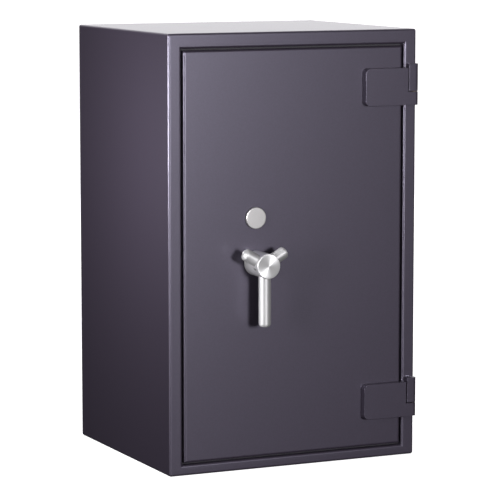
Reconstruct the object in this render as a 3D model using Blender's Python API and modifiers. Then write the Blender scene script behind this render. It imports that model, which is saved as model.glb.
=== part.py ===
"""A free-standing key-operated safe: cabinet, hinged door, boltwork, lever lock and T handle.

Metres, +Z up. The front faces -Y and +X is to the right of a person facing it. The origin is the
middle of the base, where the cabinet stands on the floor. At rest the door is shut and unlocked.
"""

import math

import bmesh
import bpy
from mathutils import Euler, Quaternion, Vector

MM = 0.001
GAP = 0.3

# Cabinet, in millimetres.
WIDTH, DEPTH, HEIGHT = 500.0, 430.0, 800.0
HALF_W, HALF_D = WIDTH / 2, DEPTH / 2
FRONT, BACK = -HALF_D, HALF_D
SHEET = 3.0
EDGE_R = 4.0

# Door plate and the opening that it fills.
DOOR_HALF_W, DOOR_Z = 220.8, (23.0, 769.0)
DOOR_T = 12.0
OPENING_HALF_W, OPENING_Z = 224.5, (19.5, 773.0)
PLATE_BACK = FRONT + DOOR_T

# Door frame ring behind the plate, and the liner behind the ring.
RING_Y = (-200.0, -135.0)
RING_HALF_W, RING_Z = 200.0, (44.0, 748.0)
LINER_T = 2.0
LINER_BACK = 157.0

# Pan on the back of the door, which holds the boltwork.
PAN_HALF_W, PAN_Z = 190.0, (54.0, 738.0)
PAN_T = 3.0
PAN_BACK = -142.0
FLANGE_W = 14.0
BARRIER_BACK = -183.0

# Hinges: each is a strap on the door, a knuckle on the cabinet, a washer and a pin. Strap and
# knuckle are the same thickness and flush in front, and both are round about the pin.
STRAP_T = 15.2
STRAP_Y = (FRONT - GAP - STRAP_T, FRONT - GAP)
KNUCKLE_R, PIN_R = STRAP_T / 2, 4.5
HINGE_X, HINGE_Y = 240.9, FRONT - GAP - KNUCKLE_R
STRAP_LEFT, STRAP_END = 138.0, 225.9
STRAP_R = 9.0
KNUCKLE_LEFT, KNUCKLE_CORNER = 227.7, 1.5
HINGES = {"upper": (660.0, 729.0, 736.5), "lower": (76.0, 141.5, 149.0)}
DOOR_KNUCKLE_H = 24.6
WASHER_T, WASHER_R = 0.6, 6.4

# Handle, spindle and the rack that it drives.
AXIS_X, AXIS_Z = -80.0, 382.0
HUB_R, HUB_Y = 22.5, (-275.0, -217.2)
ARM_R, ARM_Y = 11.25, -257.0
ARM_ROOT = 17.3
LONG_ARM, SHORT_ARM = 112.0, 48.0
SPINDLE_R, SPINDLE_Y = 6.0, (-268.0, -159.0)
GRUB_ANGLE, GRUB_Y, GRUB_R = 195.0, -262.0, 2.5
MODULE, TEETH = 2.0, 19
PINION_Y = (-172.0, -162.0)
PITCH_R = MODULE * TEETH / 2
BACKLASH = 0.35

# Locking bolts.
BOLT_R, BOLT_Y = 11.0, -163.0
BOLT_Z = (120.0, 255.0, 545.0, 680.0)
BOLT_TIP_X = -189.0
BAR_X = (-150.0, -142.0)
TAIL_R, TAIL_END_X = 5.7, -85.0
THROW = PITCH_R * math.pi / 2
DOG_R, DOG_X, DOG_Z = 10.0, (180.0, 206.0), (120.0, 400.0, 680.0)

# Lever lock, above the spindle.
KEY_Z = 464.0
CASE_X, CASE_Z, CASE_Y = (-112.0, -48.0), (410.0, 520.0), (-178.4, -148.0)
CASE_T = 3.0
LOCK_BOLT_W, LOCK_BOLT_Y = 16.0, (-158.0, -152.0)
PIVOT_X, PIVOT_Z, PIVOT_R = -98.0, 500.0, 3.0
KEY_BARREL_R = 6.0
LEVERS = 3

# Modelling: sides of a round, weld distance, smooth-shading limit, how far a cutter runs past
# a face, sides of the fine rounds, size of an axis's mark.
SEGMENTS = 24
WELD = 0.001
SHARP = math.radians(40)
OVER = 5.0
FINE_SEGMENTS = 36
AXIS_MARK = 50.0
UPRIGHT = Quaternion()

for old in list(bpy.data.objects):
    bpy.data.objects.remove(old, do_unlink=True)


def new_collection(name):
    """A collection of this name, linked into the scene."""
    made = bpy.data.collections.new(name)
    bpy.context.scene.collection.children.link(made)
    return made


PARTS = new_collection("key_safe")
CUTTERS = new_collection("cutters")


def material(name, rgb, metallic, roughness):
    """A plain Principled material."""
    made = bpy.data.materials.new(name)
    made.use_nodes = True
    shader = made.node_tree.nodes["Principled BSDF"]
    shader.inputs["Base Color"].default_value = (*rgb, 1.0)
    shader.inputs["Metallic"].default_value = metallic
    shader.inputs["Roughness"].default_value = roughness
    return made


MATERIALS = {
    "powder_coat": material("powder_coat", (0.10, 0.09, 0.12), 0.3, 0.45),
    "primer": material("primer", (0.45, 0.45, 0.46), 0.0, 0.6),
    "barrier": material("barrier", (0.62, 0.60, 0.56), 0.0, 0.95),
    "stainless": material("stainless", (0.55, 0.55, 0.55), 1.0, 0.25),
    "steel": material("steel", (0.50, 0.50, 0.51), 1.0, 0.35),
    "zinc": material("zinc", (0.60, 0.62, 0.66), 1.0, 0.4),
    "brass": material("brass", (0.70, 0.52, 0.22), 1.0, 0.3),
    "rubber": material("rubber", (0.03, 0.03, 0.03), 0.0, 0.8),
    "seal": material("seal", (0.12, 0.12, 0.12), 0.0, 0.9),
}


def add_mesh(name, slot, collection, shape):
    """Put a shape, a bmesh in millimetres with its place and turn, into the scene in metres."""
    bm, centre, turn = shape
    bmesh.ops.scale(bm, vec=(MM, MM, MM), verts=bm.verts)
    mesh = bpy.data.meshes.new(name)
    bm.to_mesh(mesh)
    bm.free()
    made = bpy.data.objects.new(name, mesh)
    made.location = Vector(centre) * MM
    made.rotation_euler = turn.to_euler()
    collection.objects.link(made)
    if slot is not None:
        mesh.materials.append(MATERIALS[slot])
    return made


def along(direction):
    """The turn that takes +Z to this direction."""
    return Vector(direction).to_track_quat("Z", "Y")


def block_shape(x, y, z):
    """A box between two limits on each axis."""
    bm = bmesh.new()
    bmesh.ops.create_cube(bm, size=1.0)
    bmesh.ops.scale(bm, vec=[high - low for low, high in (x, y, z)], verts=bm.verts)
    return bm, [(low + high) / 2 for low, high in (x, y, z)], UPRIGHT


def rod_shape(start, end, radius, segments=SEGMENTS):
    """A cylinder from one point to another."""
    start, end = Vector(start), Vector(end)
    bm = bmesh.new()
    bmesh.ops.create_cone(bm, cap_ends=True, segments=segments, radius1=radius, radius2=radius,
                          depth=(end - start).length)
    return bm, (start + end) / 2, along(end - start)


def sheet(points, thickness):
    """A flat plate of this thickness with this outline, in its own X and Y."""
    curve = bpy.data.curves.new("outline", "CURVE")
    curve.dimensions = "2D"
    curve.fill_mode = "BOTH"
    curve.extrude = thickness / 2
    spline = curve.splines.new("POLY")
    spline.points.add(len(points) - 1)
    for point, (px, py) in zip(spline.points, points):
        point.co = (px, py, 0.0, 1.0)
    spline.use_cyclic_u = True
    flat = bpy.data.objects.new("outline", curve)
    CUTTERS.objects.link(flat)
    evaluated = flat.evaluated_get(bpy.context.evaluated_depsgraph_get())
    bm = bmesh.new()
    bm.from_mesh(bpy.data.meshes.new_from_object(evaluated))
    bmesh.ops.remove_doubles(bm, verts=bm.verts, dist=WELD)
    bmesh.ops.recalc_face_normals(bm, faces=bm.faces)
    bpy.data.objects.remove(flat, do_unlink=True)
    return bm


def outline_shape(points, y):
    """A plate with its outline given in X and Z, between two limits on Y."""
    tipped = Euler((math.pi / 2, 0.0, 0.0)).to_quaternion()
    return sheet(points, y[1] - y[0]), (0.0, (y[0] + y[1]) / 2, 0.0), tipped


def section_shape(points, z):
    """A bar with its cross-section given in X and Y, between two limits on Z."""
    return sheet(points, z[1] - z[0]), (0.0, 0.0, (z[0] + z[1]) / 2), UPRIGHT


def block(name, slot, x, y, z, bevel=0.0, segments=2):
    """A box part, with rounded edges where bevel is given."""
    made = add_mesh(name, slot, PARTS, block_shape(x, y, z))
    if bevel:
        rounded = made.modifiers.new("rounded", "BEVEL")
        rounded.width = bevel * MM
        rounded.segments = segments
    return made


def rod(name, slot, start, end, radius):
    """A plain round bar part."""
    made = add_mesh(name, slot, PARTS, rod_shape(start, end, radius))
    made.data.shade_smooth()
    made.data.set_sharp_from_angle(angle=SHARP)
    return made


def flat_part(name, slot, points, y):
    """A flat part with the outline given in X and Z."""
    return add_mesh(name, slot, PARTS, outline_shape(points, y))


def turned(name, slot, base, direction, profile, ring=False, segments=SEGMENTS):
    """A turned part: (height, radius) points, down the outer side from the top, spun round.

    A ring's profile is a closed loop that goes back up the inside of its bore.
    """
    mesh = bpy.data.meshes.new(name)
    count = len(profile)
    edges = [(i, (i + 1) % count) for i in range(count if ring else count - 1)]
    mesh.from_pydata([(radius * MM, 0.0, height * MM) for height, radius in profile], edges, [])
    mesh.materials.append(MATERIALS[slot])
    made = bpy.data.objects.new(name, mesh)
    made.location = Vector(base) * MM
    made.rotation_euler = along(direction).to_euler()
    PARTS.objects.link(made)
    spun = made.modifiers.new("turned", "SCREW")
    spun.axis = "Z"
    spun.angle = 2 * math.pi
    spun.steps = segments
    spun.render_steps = segments
    spun.use_merge_vertices = True
    spun.merge_threshold = WELD * MM
    return made


def boolean(obj, shape, operation="DIFFERENCE"):
    """Cut a shape from a part, or join it to the part. The shape then moves with the part."""
    count = len(obj.modifiers)
    other = add_mesh(f"{obj.name}_{operation.lower()}_{count}", None, CUTTERS, shape)
    other.hide_render = True
    other.display_type = "WIRE"
    other.parent = obj
    other.matrix_parent_inverse = obj.matrix_basis.inverted()
    step = obj.modifiers.new(f"step_{count}", "BOOLEAN")
    step.operation = operation
    step.solver = "EXACT"
    step.object = other
    return other


def cut_block(obj, x, y, z):
    """Cut a box from a part."""
    return boolean(obj, block_shape(x, y, z))


def cut_rod(obj, start, end, radius, segments=SEGMENTS):
    """Drill a part."""
    return boolean(obj, rod_shape(start, end, radius, segments))


def join_block(obj, x, y, z):
    """Join a box to a part."""
    return boolean(obj, block_shape(x, y, z), "UNION")


def join_rod(obj, start, end, radius, segments=SEGMENTS):
    """Join a cylinder to a part."""
    return boolean(obj, rod_shape(start, end, radius, segments), "UNION")


def joint(name, place, parent, parts):
    """An empty on a joint's axis, with the parts that move about it or along it."""
    axis = bpy.data.objects.new(name, None)
    axis.empty_display_size = AXIS_MARK * MM
    PARTS.objects.link(axis)
    axis.location = Vector(place) * MM
    if parent is not None:
        hang(axis, parent)
    for part in parts:
        hang(PARTS.objects[part], axis)
    return axis


def hang(child, axis):
    """Parent an object to an axis without moving it."""
    child.parent = axis
    child.matrix_parent_inverse = axis.matrix_basis.inverted()


def arc(cx, cy, radius, start, stop, steps):
    """Points on an arc in an outline, with the angles in degrees from the outline's first axis."""
    angles = [math.radians(start + (stop - start) * i / steps) for i in range(steps + 1)]
    return [(cx + radius * math.cos(a), cy + radius * math.sin(a)) for a in angles]


# ---------------------------------------------------------------- cabinet

ANCHORS = {"left": (-120.0, 40.0), "right": (120.0, 40.0)}
ANCHOR_R = 7.0


def cut_anchors(obj, z):
    """Drill the holes for the floor anchors."""
    for ax, ay in ANCHORS.values():
        cut_rod(obj, (ax, ay, z[0]), (ax, ay, z[1]), ANCHOR_R)


def outer_shell():
    """Folded steel body: four walls, front lips and the returns behind the lips."""
    spare = 10
    shell = block("outer_shell", "powder_coat", (-HALF_W, HALF_W), (FRONT, BACK + spare),
                  (0, HEIGHT), EDGE_R)
    inner_x, inner_z = (SHEET - HALF_W, HALF_W - SHEET), (SHEET, HEIGHT - SHEET)
    cut_block(shell, (-HALF_W - OVER, HALF_W + OVER), (BACK, BACK + 2 * spare),
              (-OVER, HEIGHT + OVER))
    cavity = cut_block(shell, inner_x, (FRONT + SHEET, BACK + OVER), inner_z)
    returns_x = (-OPENING_HALF_W - SHEET, OPENING_HALF_W + SHEET)
    returns_z = (OPENING_Z[0] - SHEET, OPENING_Z[1] + SHEET)
    boolean(cavity, block_shape(returns_x, (FRONT, RING_Y[0] - GAP), returns_z))
    opening_x = (-OPENING_HALF_W, OPENING_HALF_W)
    cut_block(shell, opening_x, (FRONT - OVER, RING_Y[0] + OVER), OPENING_Z)
    cut_anchors(shell, (-10, 10))


def back_panel():
    """Plate welded in between the walls at the back."""
    edge = SHEET + GAP
    block("back_panel", "powder_coat", (edge - HALF_W, HALF_W - edge), (BACK - SHEET, BACK),
          (edge, HEIGHT - edge))


def barrier_fill():
    """Cast fire and drill barrier between the body and the liner."""
    edge = SHEET + GAP
    fill = block("barrier_fill", "barrier", (edge - HALF_W, HALF_W - edge),
                 (RING_Y[1] + GAP, BACK - SHEET - GAP), (edge, HEIGHT - edge))
    cut_block(fill, (-RING_HALF_W - GAP, RING_HALF_W + GAP), (RING_Y[1] - OVER, LINER_BACK + GAP),
              (RING_Z[0] - GAP, RING_Z[1] + GAP))
    cut_anchors(fill, (-10, RING_Z[0] + OVER))


def inner_liner():
    """Thin sheet box that lines the compartment."""
    liner = block("inner_liner", "primer", (-RING_HALF_W, RING_HALF_W),
                  (RING_Y[1] + GAP, LINER_BACK), RING_Z)
    cut_block(liner, (LINER_T - RING_HALF_W, RING_HALF_W - LINER_T),
              (RING_Y[1] - OVER, LINER_BACK - LINER_T), (RING_Z[0] + LINER_T, RING_Z[1] - LINER_T))
    cut_anchors(liner, (RING_Z[0] - OVER, RING_Z[0] + OVER))


POCKET_DEPTH = 25.0
DOG_POCKET_X, DOG_POCKET_Y = 213.0, (-190.0, -148.0)


def door_frame():
    """Thick steel ring that the door shuts against, with pockets for the bolts."""
    edge = SHEET + GAP
    ring = block("door_frame", "powder_coat", (edge - HALF_W, HALF_W - edge), RING_Y,
                 (edge, HEIGHT - edge))
    cut_block(ring, (-RING_HALF_W, RING_HALF_W), (RING_Y[0] - OVER, RING_Y[1] + OVER), RING_Z)
    for z in BOLT_Z:
        cut_rod(ring, (-RING_HALF_W - POCKET_DEPTH, BOLT_Y, z), (5 - RING_HALF_W, BOLT_Y, z),
                BOLT_R + 1.3)
    for z in DOG_Z:
        cut_block(ring, (RING_HALF_W - OVER, DOG_POCKET_X), DOG_POCKET_Y, (z - 12.6, z + 12.6))


def fire_seal():
    """Heat-swelling strip on the front of the door frame."""
    outer, inner = 216.0, 206.0
    seal = block("fire_seal", "seal", (-outer, outer), (RING_Y[0] - 2.5, RING_Y[0] - GAP),
                 (RING_Z[0] - 16, RING_Z[1] + 16))
    cut_block(seal, (-inner, inner), (RING_Y[0] - OVER, RING_Y[0] + OVER),
              (RING_Z[0] - 6, RING_Z[1] + 6))


SHELF_Z = {"lower": 250.0, "upper": 500.0}
SHELF_FRONT, SHELF_BACK = -118.0, 150.0
RAIL_T, RAIL_Y = 6.0, (-90.0, 120.0)


def shelf_rail(side, sign):
    """Pressed rail spot-welded to the liner, with a ledge for each shelf."""
    wall = RING_HALF_W - LINER_T - GAP
    outer, inner = sign * wall, sign * (wall - RAIL_T)
    spine_x = tuple(sorted((outer, inner)))
    ledge_x = tuple(sorted((sign * (wall - 1), sign * (wall - 18))))
    rail = block(f"shelf_rail_{side}", "zinc", spine_x, (-8, 8), (80, 700))
    for z in SHELF_Z.values():
        join_block(rail, ledge_x, RAIL_Y, (z - 12, z - GAP))


def shelf(level, z):
    """Removable folded tray that rests on the ledges."""
    half = RING_HALF_W - LINER_T - RAIL_T - 3 * GAP
    thick, lip = 2.0, 22.0
    made = block(f"{level}_shelf", "primer", (-half, half), (SHELF_FRONT, SHELF_BACK),
                 (z, z + thick))
    inner = RING_HALF_W - LINER_T - 24
    join_block(made, (-inner, inner), (SHELF_FRONT, SHELF_FRONT + thick), (z - lip, z + 1))
    join_block(made, (-inner, inner), (SHELF_BACK - thick, SHELF_BACK), (z - lip, z + 1))


PLUG_HEAD_R, PLUG_HEAD_T, PLUG_LENGTH = 11.0, 2.5, 18.5


def anchor_plug(side, x, y):
    """Rubber plug that shuts an unused anchor hole from inside."""
    top = RING_Z[0] + LINER_T + GAP + PLUG_HEAD_T
    neck, stem = -PLUG_HEAD_T, ANCHOR_R - 0.5
    turned(f"anchor_plug_{side}", "rubber", (x, y, top), (0, 0, 1),
           [(0, 0), (0, PLUG_HEAD_R - 1), (-1, PLUG_HEAD_R), (neck, PLUG_HEAD_R), (neck, stem),
            (-PLUG_LENGTH, stem), (-PLUG_LENGTH, 0)])


def hinge_knuckle(level, bottom, top):
    """Body half of a hinge: a bar welded to the stile, round on its outer side."""
    z = (bottom + DOOR_KNUCKLE_H + WASHER_T + 2 * GAP, top)
    corner = (KNUCKLE_LEFT + KNUCKLE_CORNER, STRAP_Y[0] + KNUCKLE_CORNER)
    points = arc(*corner, KNUCKLE_CORNER, 180, 270, 4) + arc(HINGE_X, HINGE_Y, KNUCKLE_R, 270, 450, 12)
    points.append((KNUCKLE_LEFT, STRAP_Y[1]))
    knuckle = add_mesh(f"{level}_hinge_knuckle", "powder_coat", PARTS, section_shape(points, z))
    cut_rod(knuckle, (HINGE_X, HINGE_Y, z[0] - OVER), (HINGE_X, HINGE_Y, z[1] + OVER), PIN_R + GAP)


def hinge_pin(level, bottom, top):
    """Steel pin pressed into the body knuckle."""
    rod(f"{level}_hinge_pin", "steel", (HINGE_X, HINGE_Y, bottom + 0.5),
        (HINGE_X, HINGE_Y, top - 0.5), PIN_R)


def hinge_washer(level, bottom):
    """Bronze washer between the two knuckles."""
    low = bottom + DOOR_KNUCKLE_H + GAP
    bore, rim = PIN_R + 0.4, WASHER_R
    turned(f"{level}_hinge_washer", "brass", (HINGE_X, HINGE_Y, low), (0, 0, 1),
           [(WASHER_T, bore), (WASHER_T, rim), (0, rim), (0, bore)], ring=True)


# ---------------------------------------------------------------- door

SPINDLE_HOLE_R, KEY_HOLE_R = 9.0, 7.0


def door_plate():
    """Thick face plate with rounded front edges, drilled for the spindle and the key."""
    plate = block("door_plate", "powder_coat", (-DOOR_HALF_W, DOOR_HALF_W), (FRONT, PLATE_BACK),
                  DOOR_Z, 4.0, 3)
    for z, radius in ((AXIS_Z, SPINDLE_HOLE_R), (KEY_Z, KEY_HOLE_R)):
        cut_rod(plate, (AXIS_X, FRONT - OVER, z), (AXIS_X, PLATE_BACK + OVER, z), radius)


COVER_T, SCREW_HOLE_R, SCREW_SEGMENTS = 2.0, 2.4, 16
SCREW_INSET = FLANGE_W / 2
SCREW_POINTS = [(sx * (PAN_HALF_W - SCREW_INSET), sz) for sx in (-1, 1)
                for sz in (PAN_Z[0] + SCREW_INSET, PAN_Z[1] - SCREW_INSET)]


def door_pan():
    """Folded frame on the back of the plate, with holes for the bolts and dogs."""
    pan = block("door_pan", "primer", (-PAN_HALF_W, PAN_HALF_W), (PLATE_BACK + GAP, PAN_BACK), PAN_Z)
    inner = PAN_HALF_W - PAN_T
    cut_block(pan, (-inner, inner), (PLATE_BACK - OVER, PAN_BACK - LINER_T),
              (PAN_Z[0] + PAN_T, PAN_Z[1] - PAN_T))
    mouth = PAN_HALF_W - FLANGE_W
    cut_block(pan, (-mouth, mouth), (PAN_BACK - OVER, PAN_BACK + OVER),
              (PAN_Z[0] + FLANGE_W, PAN_Z[1] - FLANGE_W))
    for z in BOLT_Z:
        cut_rod(pan, (-PAN_HALF_W - OVER, BOLT_Y, z), (5 - inner, BOLT_Y, z), BOLT_R + 0.5)
    for z in DOG_Z:
        cut_rod(pan, (inner - OVER, BOLT_Y, z), (PAN_HALF_W + OVER, BOLT_Y, z), DOG_R + GAP)
    for px, pz in SCREW_POINTS:
        cut_rod(pan, (px, PAN_BACK - OVER, pz), (px, PAN_BACK + OVER, pz), SCREW_HOLE_R, 16)


def door_barrier():
    """Cast barrier slab behind the face plate."""
    inner = PAN_HALF_W - PAN_T - GAP
    slab = block("door_barrier", "barrier", (-inner, inner), (PLATE_BACK + GAP, BARRIER_BACK),
                 (PAN_Z[0] + PAN_T + GAP, PAN_Z[1] - PAN_T - GAP))
    for z, radius in ((AXIS_Z, SPINDLE_HOLE_R), (KEY_Z, KEY_HOLE_R + 2)):
        cut_rod(slab, (AXIS_X, PLATE_BACK - OVER, z), (AXIS_X, BARRIER_BACK + OVER, z), radius)


def hard_plate():
    """Manganese steel plate that guards the lock from drilling."""
    plate = block("hard_plate", "steel", (-130, -30), (BARRIER_BACK + GAP, CASE_Y[0] - GAP),
                  (405, 530))
    cut_rod(plate, (AXIS_X, BARRIER_BACK - OVER, KEY_Z), (AXIS_X, CASE_Y[0] + OVER, KEY_Z), KEY_HOLE_R)


def inner_cover():
    """Sheet cover over the boltwork."""
    cover = block("inner_cover", "primer", (-PAN_HALF_W, PAN_HALF_W),
                  (PAN_BACK + GAP, PAN_BACK + GAP + COVER_T), PAN_Z)
    for px, pz in SCREW_POINTS:
        cut_rod(cover, (px, PAN_BACK - OVER, pz), (px, PAN_BACK + OVER, pz), SCREW_HOLE_R, 16)


COVER_SCREW_R, COVER_SCREW_HEAD, COVER_SCREW_LENGTH = 4.2, 2.4, 5.5


def cover_screw(number, x, z):
    """Pan-head screw that holds the cover to the flange."""
    seat = PAN_BACK + 2 * GAP + COVER_T
    screw(f"cover_screw_{number}", (x, seat, z), COVER_SCREW_R, COVER_SCREW_HEAD, 2.0,
          COVER_SCREW_LENGTH)


def screw(name, seat, head_r, head_t, shank_r, length):
    """Pan-head screw with its head towards the inside of the safe."""
    turned(name, "zinc", seat, (0, 1, 0),
           [(head_t, 0), (head_t, head_r * 0.6), (head_t * 0.6, head_r), (0, head_r),
            (0, shank_r), (-length, shank_r), (-length, 0)], segments=SCREW_SEGMENTS)


def hinge_strap(level, bottom, strap_top):
    """Door half of a hinge: a thick strap with rounded corners and a knuckle at its end."""
    top = bottom + DOOR_KNUCKLE_H
    left = (arc(STRAP_LEFT + STRAP_R, strap_top - STRAP_R, STRAP_R, 90, 180, 6)
            + arc(STRAP_LEFT + STRAP_R, bottom + STRAP_R, STRAP_R, 180, 270, 6))
    points = left + [(HINGE_X, bottom), (HINGE_X, top), (STRAP_END, top), (STRAP_END, strap_top)]
    strap = flat_part(f"{level}_hinge_strap", "powder_coat", points, STRAP_Y)
    join_rod(strap, (HINGE_X, HINGE_Y, bottom), (HINGE_X, HINGE_Y, top), KNUCKLE_R)
    cut_rod(strap, (HINGE_X, HINGE_Y, bottom - OVER), (HINGE_X, HINGE_Y, top + OVER), PIN_R + GAP)


DOG_SHOULDER, DOG_CHAMFER = 4.0, 2.0


def dog_bolt(number, z):
    """Fixed bolt on the hinge side, which hooks into the frame as the door shuts."""
    root, wall, tip = DOG_X[0] - 6, PAN_HALF_W - PAN_T - GAP, DOG_X[1]
    wide = DOG_R + DOG_SHOULDER
    turned(f"dog_bolt_{number}", "steel", (root, BOLT_Y, z), (1, 0, 0),
           [(tip - root, 0), (tip - root, DOG_R - DOG_CHAMFER), (tip - root - DOG_CHAMFER, DOG_R),
            (wall - root, DOG_R), (wall - root, wide), (0, wide), (0, 0)])


GUIDE_X = (-124.0, -120.0)


def bolt_guide(level, low, high):
    """Angle that holds the tails of two bolts."""
    back = -146.0
    guide = block(f"{level}_bolt_guide", "zinc", GUIDE_X, (BARRIER_BACK + GAP, back), (low, high))
    join_block(guide, (GUIDE_X[0], GUIDE_X[0] + 20), (BARRIER_BACK + GAP, BARRIER_BACK + 4),
               (low, high))
    for z in BOLT_Z:
        if low < z < high:
            cut_rod(guide, (GUIDE_X[0] - OVER, BOLT_Y, z), (GUIDE_X[1] + 2, BOLT_Y, z), TAIL_R + 0.4)


BUSH_FLANGE_R, BUSH_FLANGE_T = 15.0, 1.5


def spindle_bush():
    """Flanged bronze bush that carries the spindle through the door."""
    face = FRONT - GAP
    bore, barrel, length = SPINDLE_R + GAP, SPINDLE_HOLE_R - GAP, BARRIER_BACK - face
    turned("spindle_bush", "brass", (AXIS_X, face, AXIS_Z), (0, -1, 0),
           [(BUSH_FLANGE_T, bore), (BUSH_FLANGE_T, BUSH_FLANGE_R), (0, BUSH_FLANGE_R),
            (0, barrel), (-length, barrel), (-length, bore)], ring=True)


COVER_R, COVER_Y = 20.0, (-221.8, -217.6)
COVER_PIVOT_Z = KEY_Z + 14.0


ESCUTCHEON_FRONT = -217.3
KEYHOLE_HALF_W, KEYHOLE_DROP, KEYHOLE_R = 2.8, 9.0, 4.2
STUD_R, COVER_ROUND = 1.4, 1.6


def key_escutcheon():
    """Round plate with the keyhole and a blind hole for the cover's stud."""
    front, back = ESCUTCHEON_FRONT - OVER, FRONT + OVER
    disc = rod("key_escutcheon", "steel", (AXIS_X, ESCUTCHEON_FRONT, KEY_Z),
               (AXIS_X, FRONT - GAP, KEY_Z), COVER_R - 1.5)
    cut_block(disc, (AXIS_X - KEYHOLE_HALF_W, AXIS_X + KEYHOLE_HALF_W), (front, back),
              (KEY_Z - KEYHOLE_DROP, KEY_Z + 3))
    cut_rod(disc, (AXIS_X, front, KEY_Z + 2), (AXIS_X, back, KEY_Z + 2), KEYHOLE_R)
    cut_rod(disc, (AXIS_X, front, COVER_PIVOT_Z), (AXIS_X, back, COVER_PIVOT_Z), STUD_R + 0.4, 16)


def key_cover():
    """Disc that hangs over the keyhole from a stud near its top."""
    thick, edge = COVER_Y[1] - COVER_Y[0], COVER_ROUND * (1 - math.sqrt(0.5))
    cover = turned("key_cover", "stainless", (AXIS_X, COVER_Y[1], KEY_Z), (0, -1, 0),
                   [(thick, 0), (thick, COVER_R - COVER_ROUND), (thick - edge, COVER_R - edge),
                    (thick - COVER_ROUND, COVER_R), (edge, COVER_R), (0, COVER_R - edge), (0, 0)],
                   segments=FINE_SEGMENTS)
    join_rod(cover, (AXIS_X, COVER_Y[0] + 2, COVER_PIVOT_Z),
             (AXIS_X, FRONT - 2 * GAP, COVER_PIVOT_Z), STUD_R, 16)


# ---------------------------------------------------------------- handle

ARM_ANGLES = {"long_arm": 270.0, "left_arm": 150.0, "right_arm": 30.0}


def spoke(angle, radius, y=ARM_Y):
    """The point at this angle and radius from the handle's axis."""
    turn = math.radians(angle)
    return (AXIS_X + radius * math.cos(turn), y, AXIS_Z + radius * math.sin(turn))


HUB_ROUND, ARM_ROUND = 0.8, 2.0


def handle_hub():
    """Turned hub with three sockets for the arms and a blind bore for the spindle."""
    length = HUB_Y[1] - HUB_Y[0]
    hub = turned("handle_hub", "stainless", (AXIS_X, HUB_Y[1], AXIS_Z), (0, -1, 0),
                 [(length, 0), (length, HUB_R - HUB_ROUND), (length - HUB_ROUND, HUB_R),
                  (HUB_ROUND, HUB_R), (0, HUB_R - HUB_ROUND), (0, 0)], segments=FINE_SEGMENTS)
    for angle in ARM_ANGLES.values():
        cut_rod(hub, spoke(angle, ARM_ROOT - GAP), spoke(angle, HUB_R + OVER), ARM_R + GAP)
    cut_rod(hub, (AXIS_X, SPINDLE_Y[0] - 1, AXIS_Z), (AXIS_X, HUB_Y[1] + OVER, AXIS_Z),
            SPINDLE_R + GAP)
    cut_rod(hub, spoke(GRUB_ANGLE, SPINDLE_R / 2, GRUB_Y), spoke(GRUB_ANGLE, HUB_R + OVER, GRUB_Y),
            GRUB_R + GAP, 16)


def handle_arm(name, angle):
    """Round arm with a softly rounded end, seated in its socket."""
    reach = (LONG_ARM if name == "long_arm" else SHORT_ARM) - ARM_ROOT
    outward = Vector(spoke(angle, 1)) - Vector(spoke(angle, 0))
    turned(f"handle_{name}", "stainless", spoke(angle, ARM_ROOT), outward,
           [(reach, 0), (reach, ARM_R - ARM_ROUND), (reach - ARM_ROUND, ARM_R), (0, ARM_R), (0, 0)])


def handle_grub_screw():
    """Grub screw that locks the hub to the spindle."""
    rod("handle_grub_screw", "steel", spoke(GRUB_ANGLE, SPINDLE_R + 1, GRUB_Y),
        spoke(GRUB_ANGLE, HUB_R - 1, GRUB_Y), GRUB_R)


def spindle():
    """Bar that turns with the handle and carries the pinion."""
    rod("spindle", "steel", (AXIS_X, SPINDLE_Y[0], AXIS_Z), (AXIS_X, SPINDLE_Y[1], AXIS_Z), SPINDLE_R)


def pinion_outline():
    """Involute teeth around the spindle, with one tooth pointing straight down."""
    pressure = math.radians(20)
    base_r = PITCH_R * math.cos(pressure)
    tip_r, root_r = PITCH_R + MODULE * 0.95, PITCH_R - MODULE * 1.25
    half_at_pitch = (math.pi * MODULE / 2 - BACKLASH) / 2 / PITCH_R
    involute_pitch = math.tan(pressure) - pressure
    points = []
    for tooth in range(TEETH):
        middle = math.radians(270) + 2 * math.pi * tooth / TEETH
        flank = []
        for step in range(5):
            radius = base_r + (tip_r - base_r) * step / 4
            roll = math.acos(base_r / radius)
            half = half_at_pitch + involute_pitch - (math.tan(roll) - roll)
            flank.append((radius, half))
        side = [(root_r, flank[0][1])] + flank
        for radius, half in side:
            points.append((middle - half, radius))
        for radius, half in reversed(side):
            points.append((middle + half, radius))
    return [(AXIS_X + r * math.cos(a), AXIS_Z + r * math.sin(a)) for a, r in points]


def pinion():
    """Gear fixed on the spindle, which drives the rack."""
    gear = flat_part("pinion", "steel", pinion_outline(), PINION_Y)
    cut_rod(gear, (AXIS_X, PINION_Y[0] - OVER, AXIS_Z), (AXIS_X, PINION_Y[1] + OVER, AXIS_Z),
            SPINDLE_R + GAP)


# ---------------------------------------------------------------- boltwork

RACK_X, RACK_DEPTH = (BAR_X[1] + GAP, -34.0), 12.0
ARM_BAR_Z = (388.0, 408.0)
NOTCH_DEPTH = 11.0


def rack():
    """Straight toothed bar under the pinion, fixed to the bolt bar."""
    pitch = math.pi * MODULE
    line = AXIS_Z - PITCH_R
    tip, root = line + MODULE * 0.95, line - MODULE * 1.25
    slope = math.tan(math.radians(20))
    half = (pitch / 2 - BACKLASH) / 2
    points = [(RACK_X[0], root)]
    middles = [AXIS_X + pitch * (n + 0.5) for n in range(-3, 7)]
    for middle in middles:
        wide = half + (line - root) * slope
        narrow = half - (tip - line) * slope
        points += [(middle - wide, root), (middle - narrow, tip)]
        points += [(middle + narrow, tip), (middle + wide, root)]
    points += [(RACK_X[1], root), (RACK_X[1], root - RACK_DEPTH), (RACK_X[0], root - RACK_DEPTH)]
    flat_part("rack", "steel", points, PINION_Y)


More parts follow.
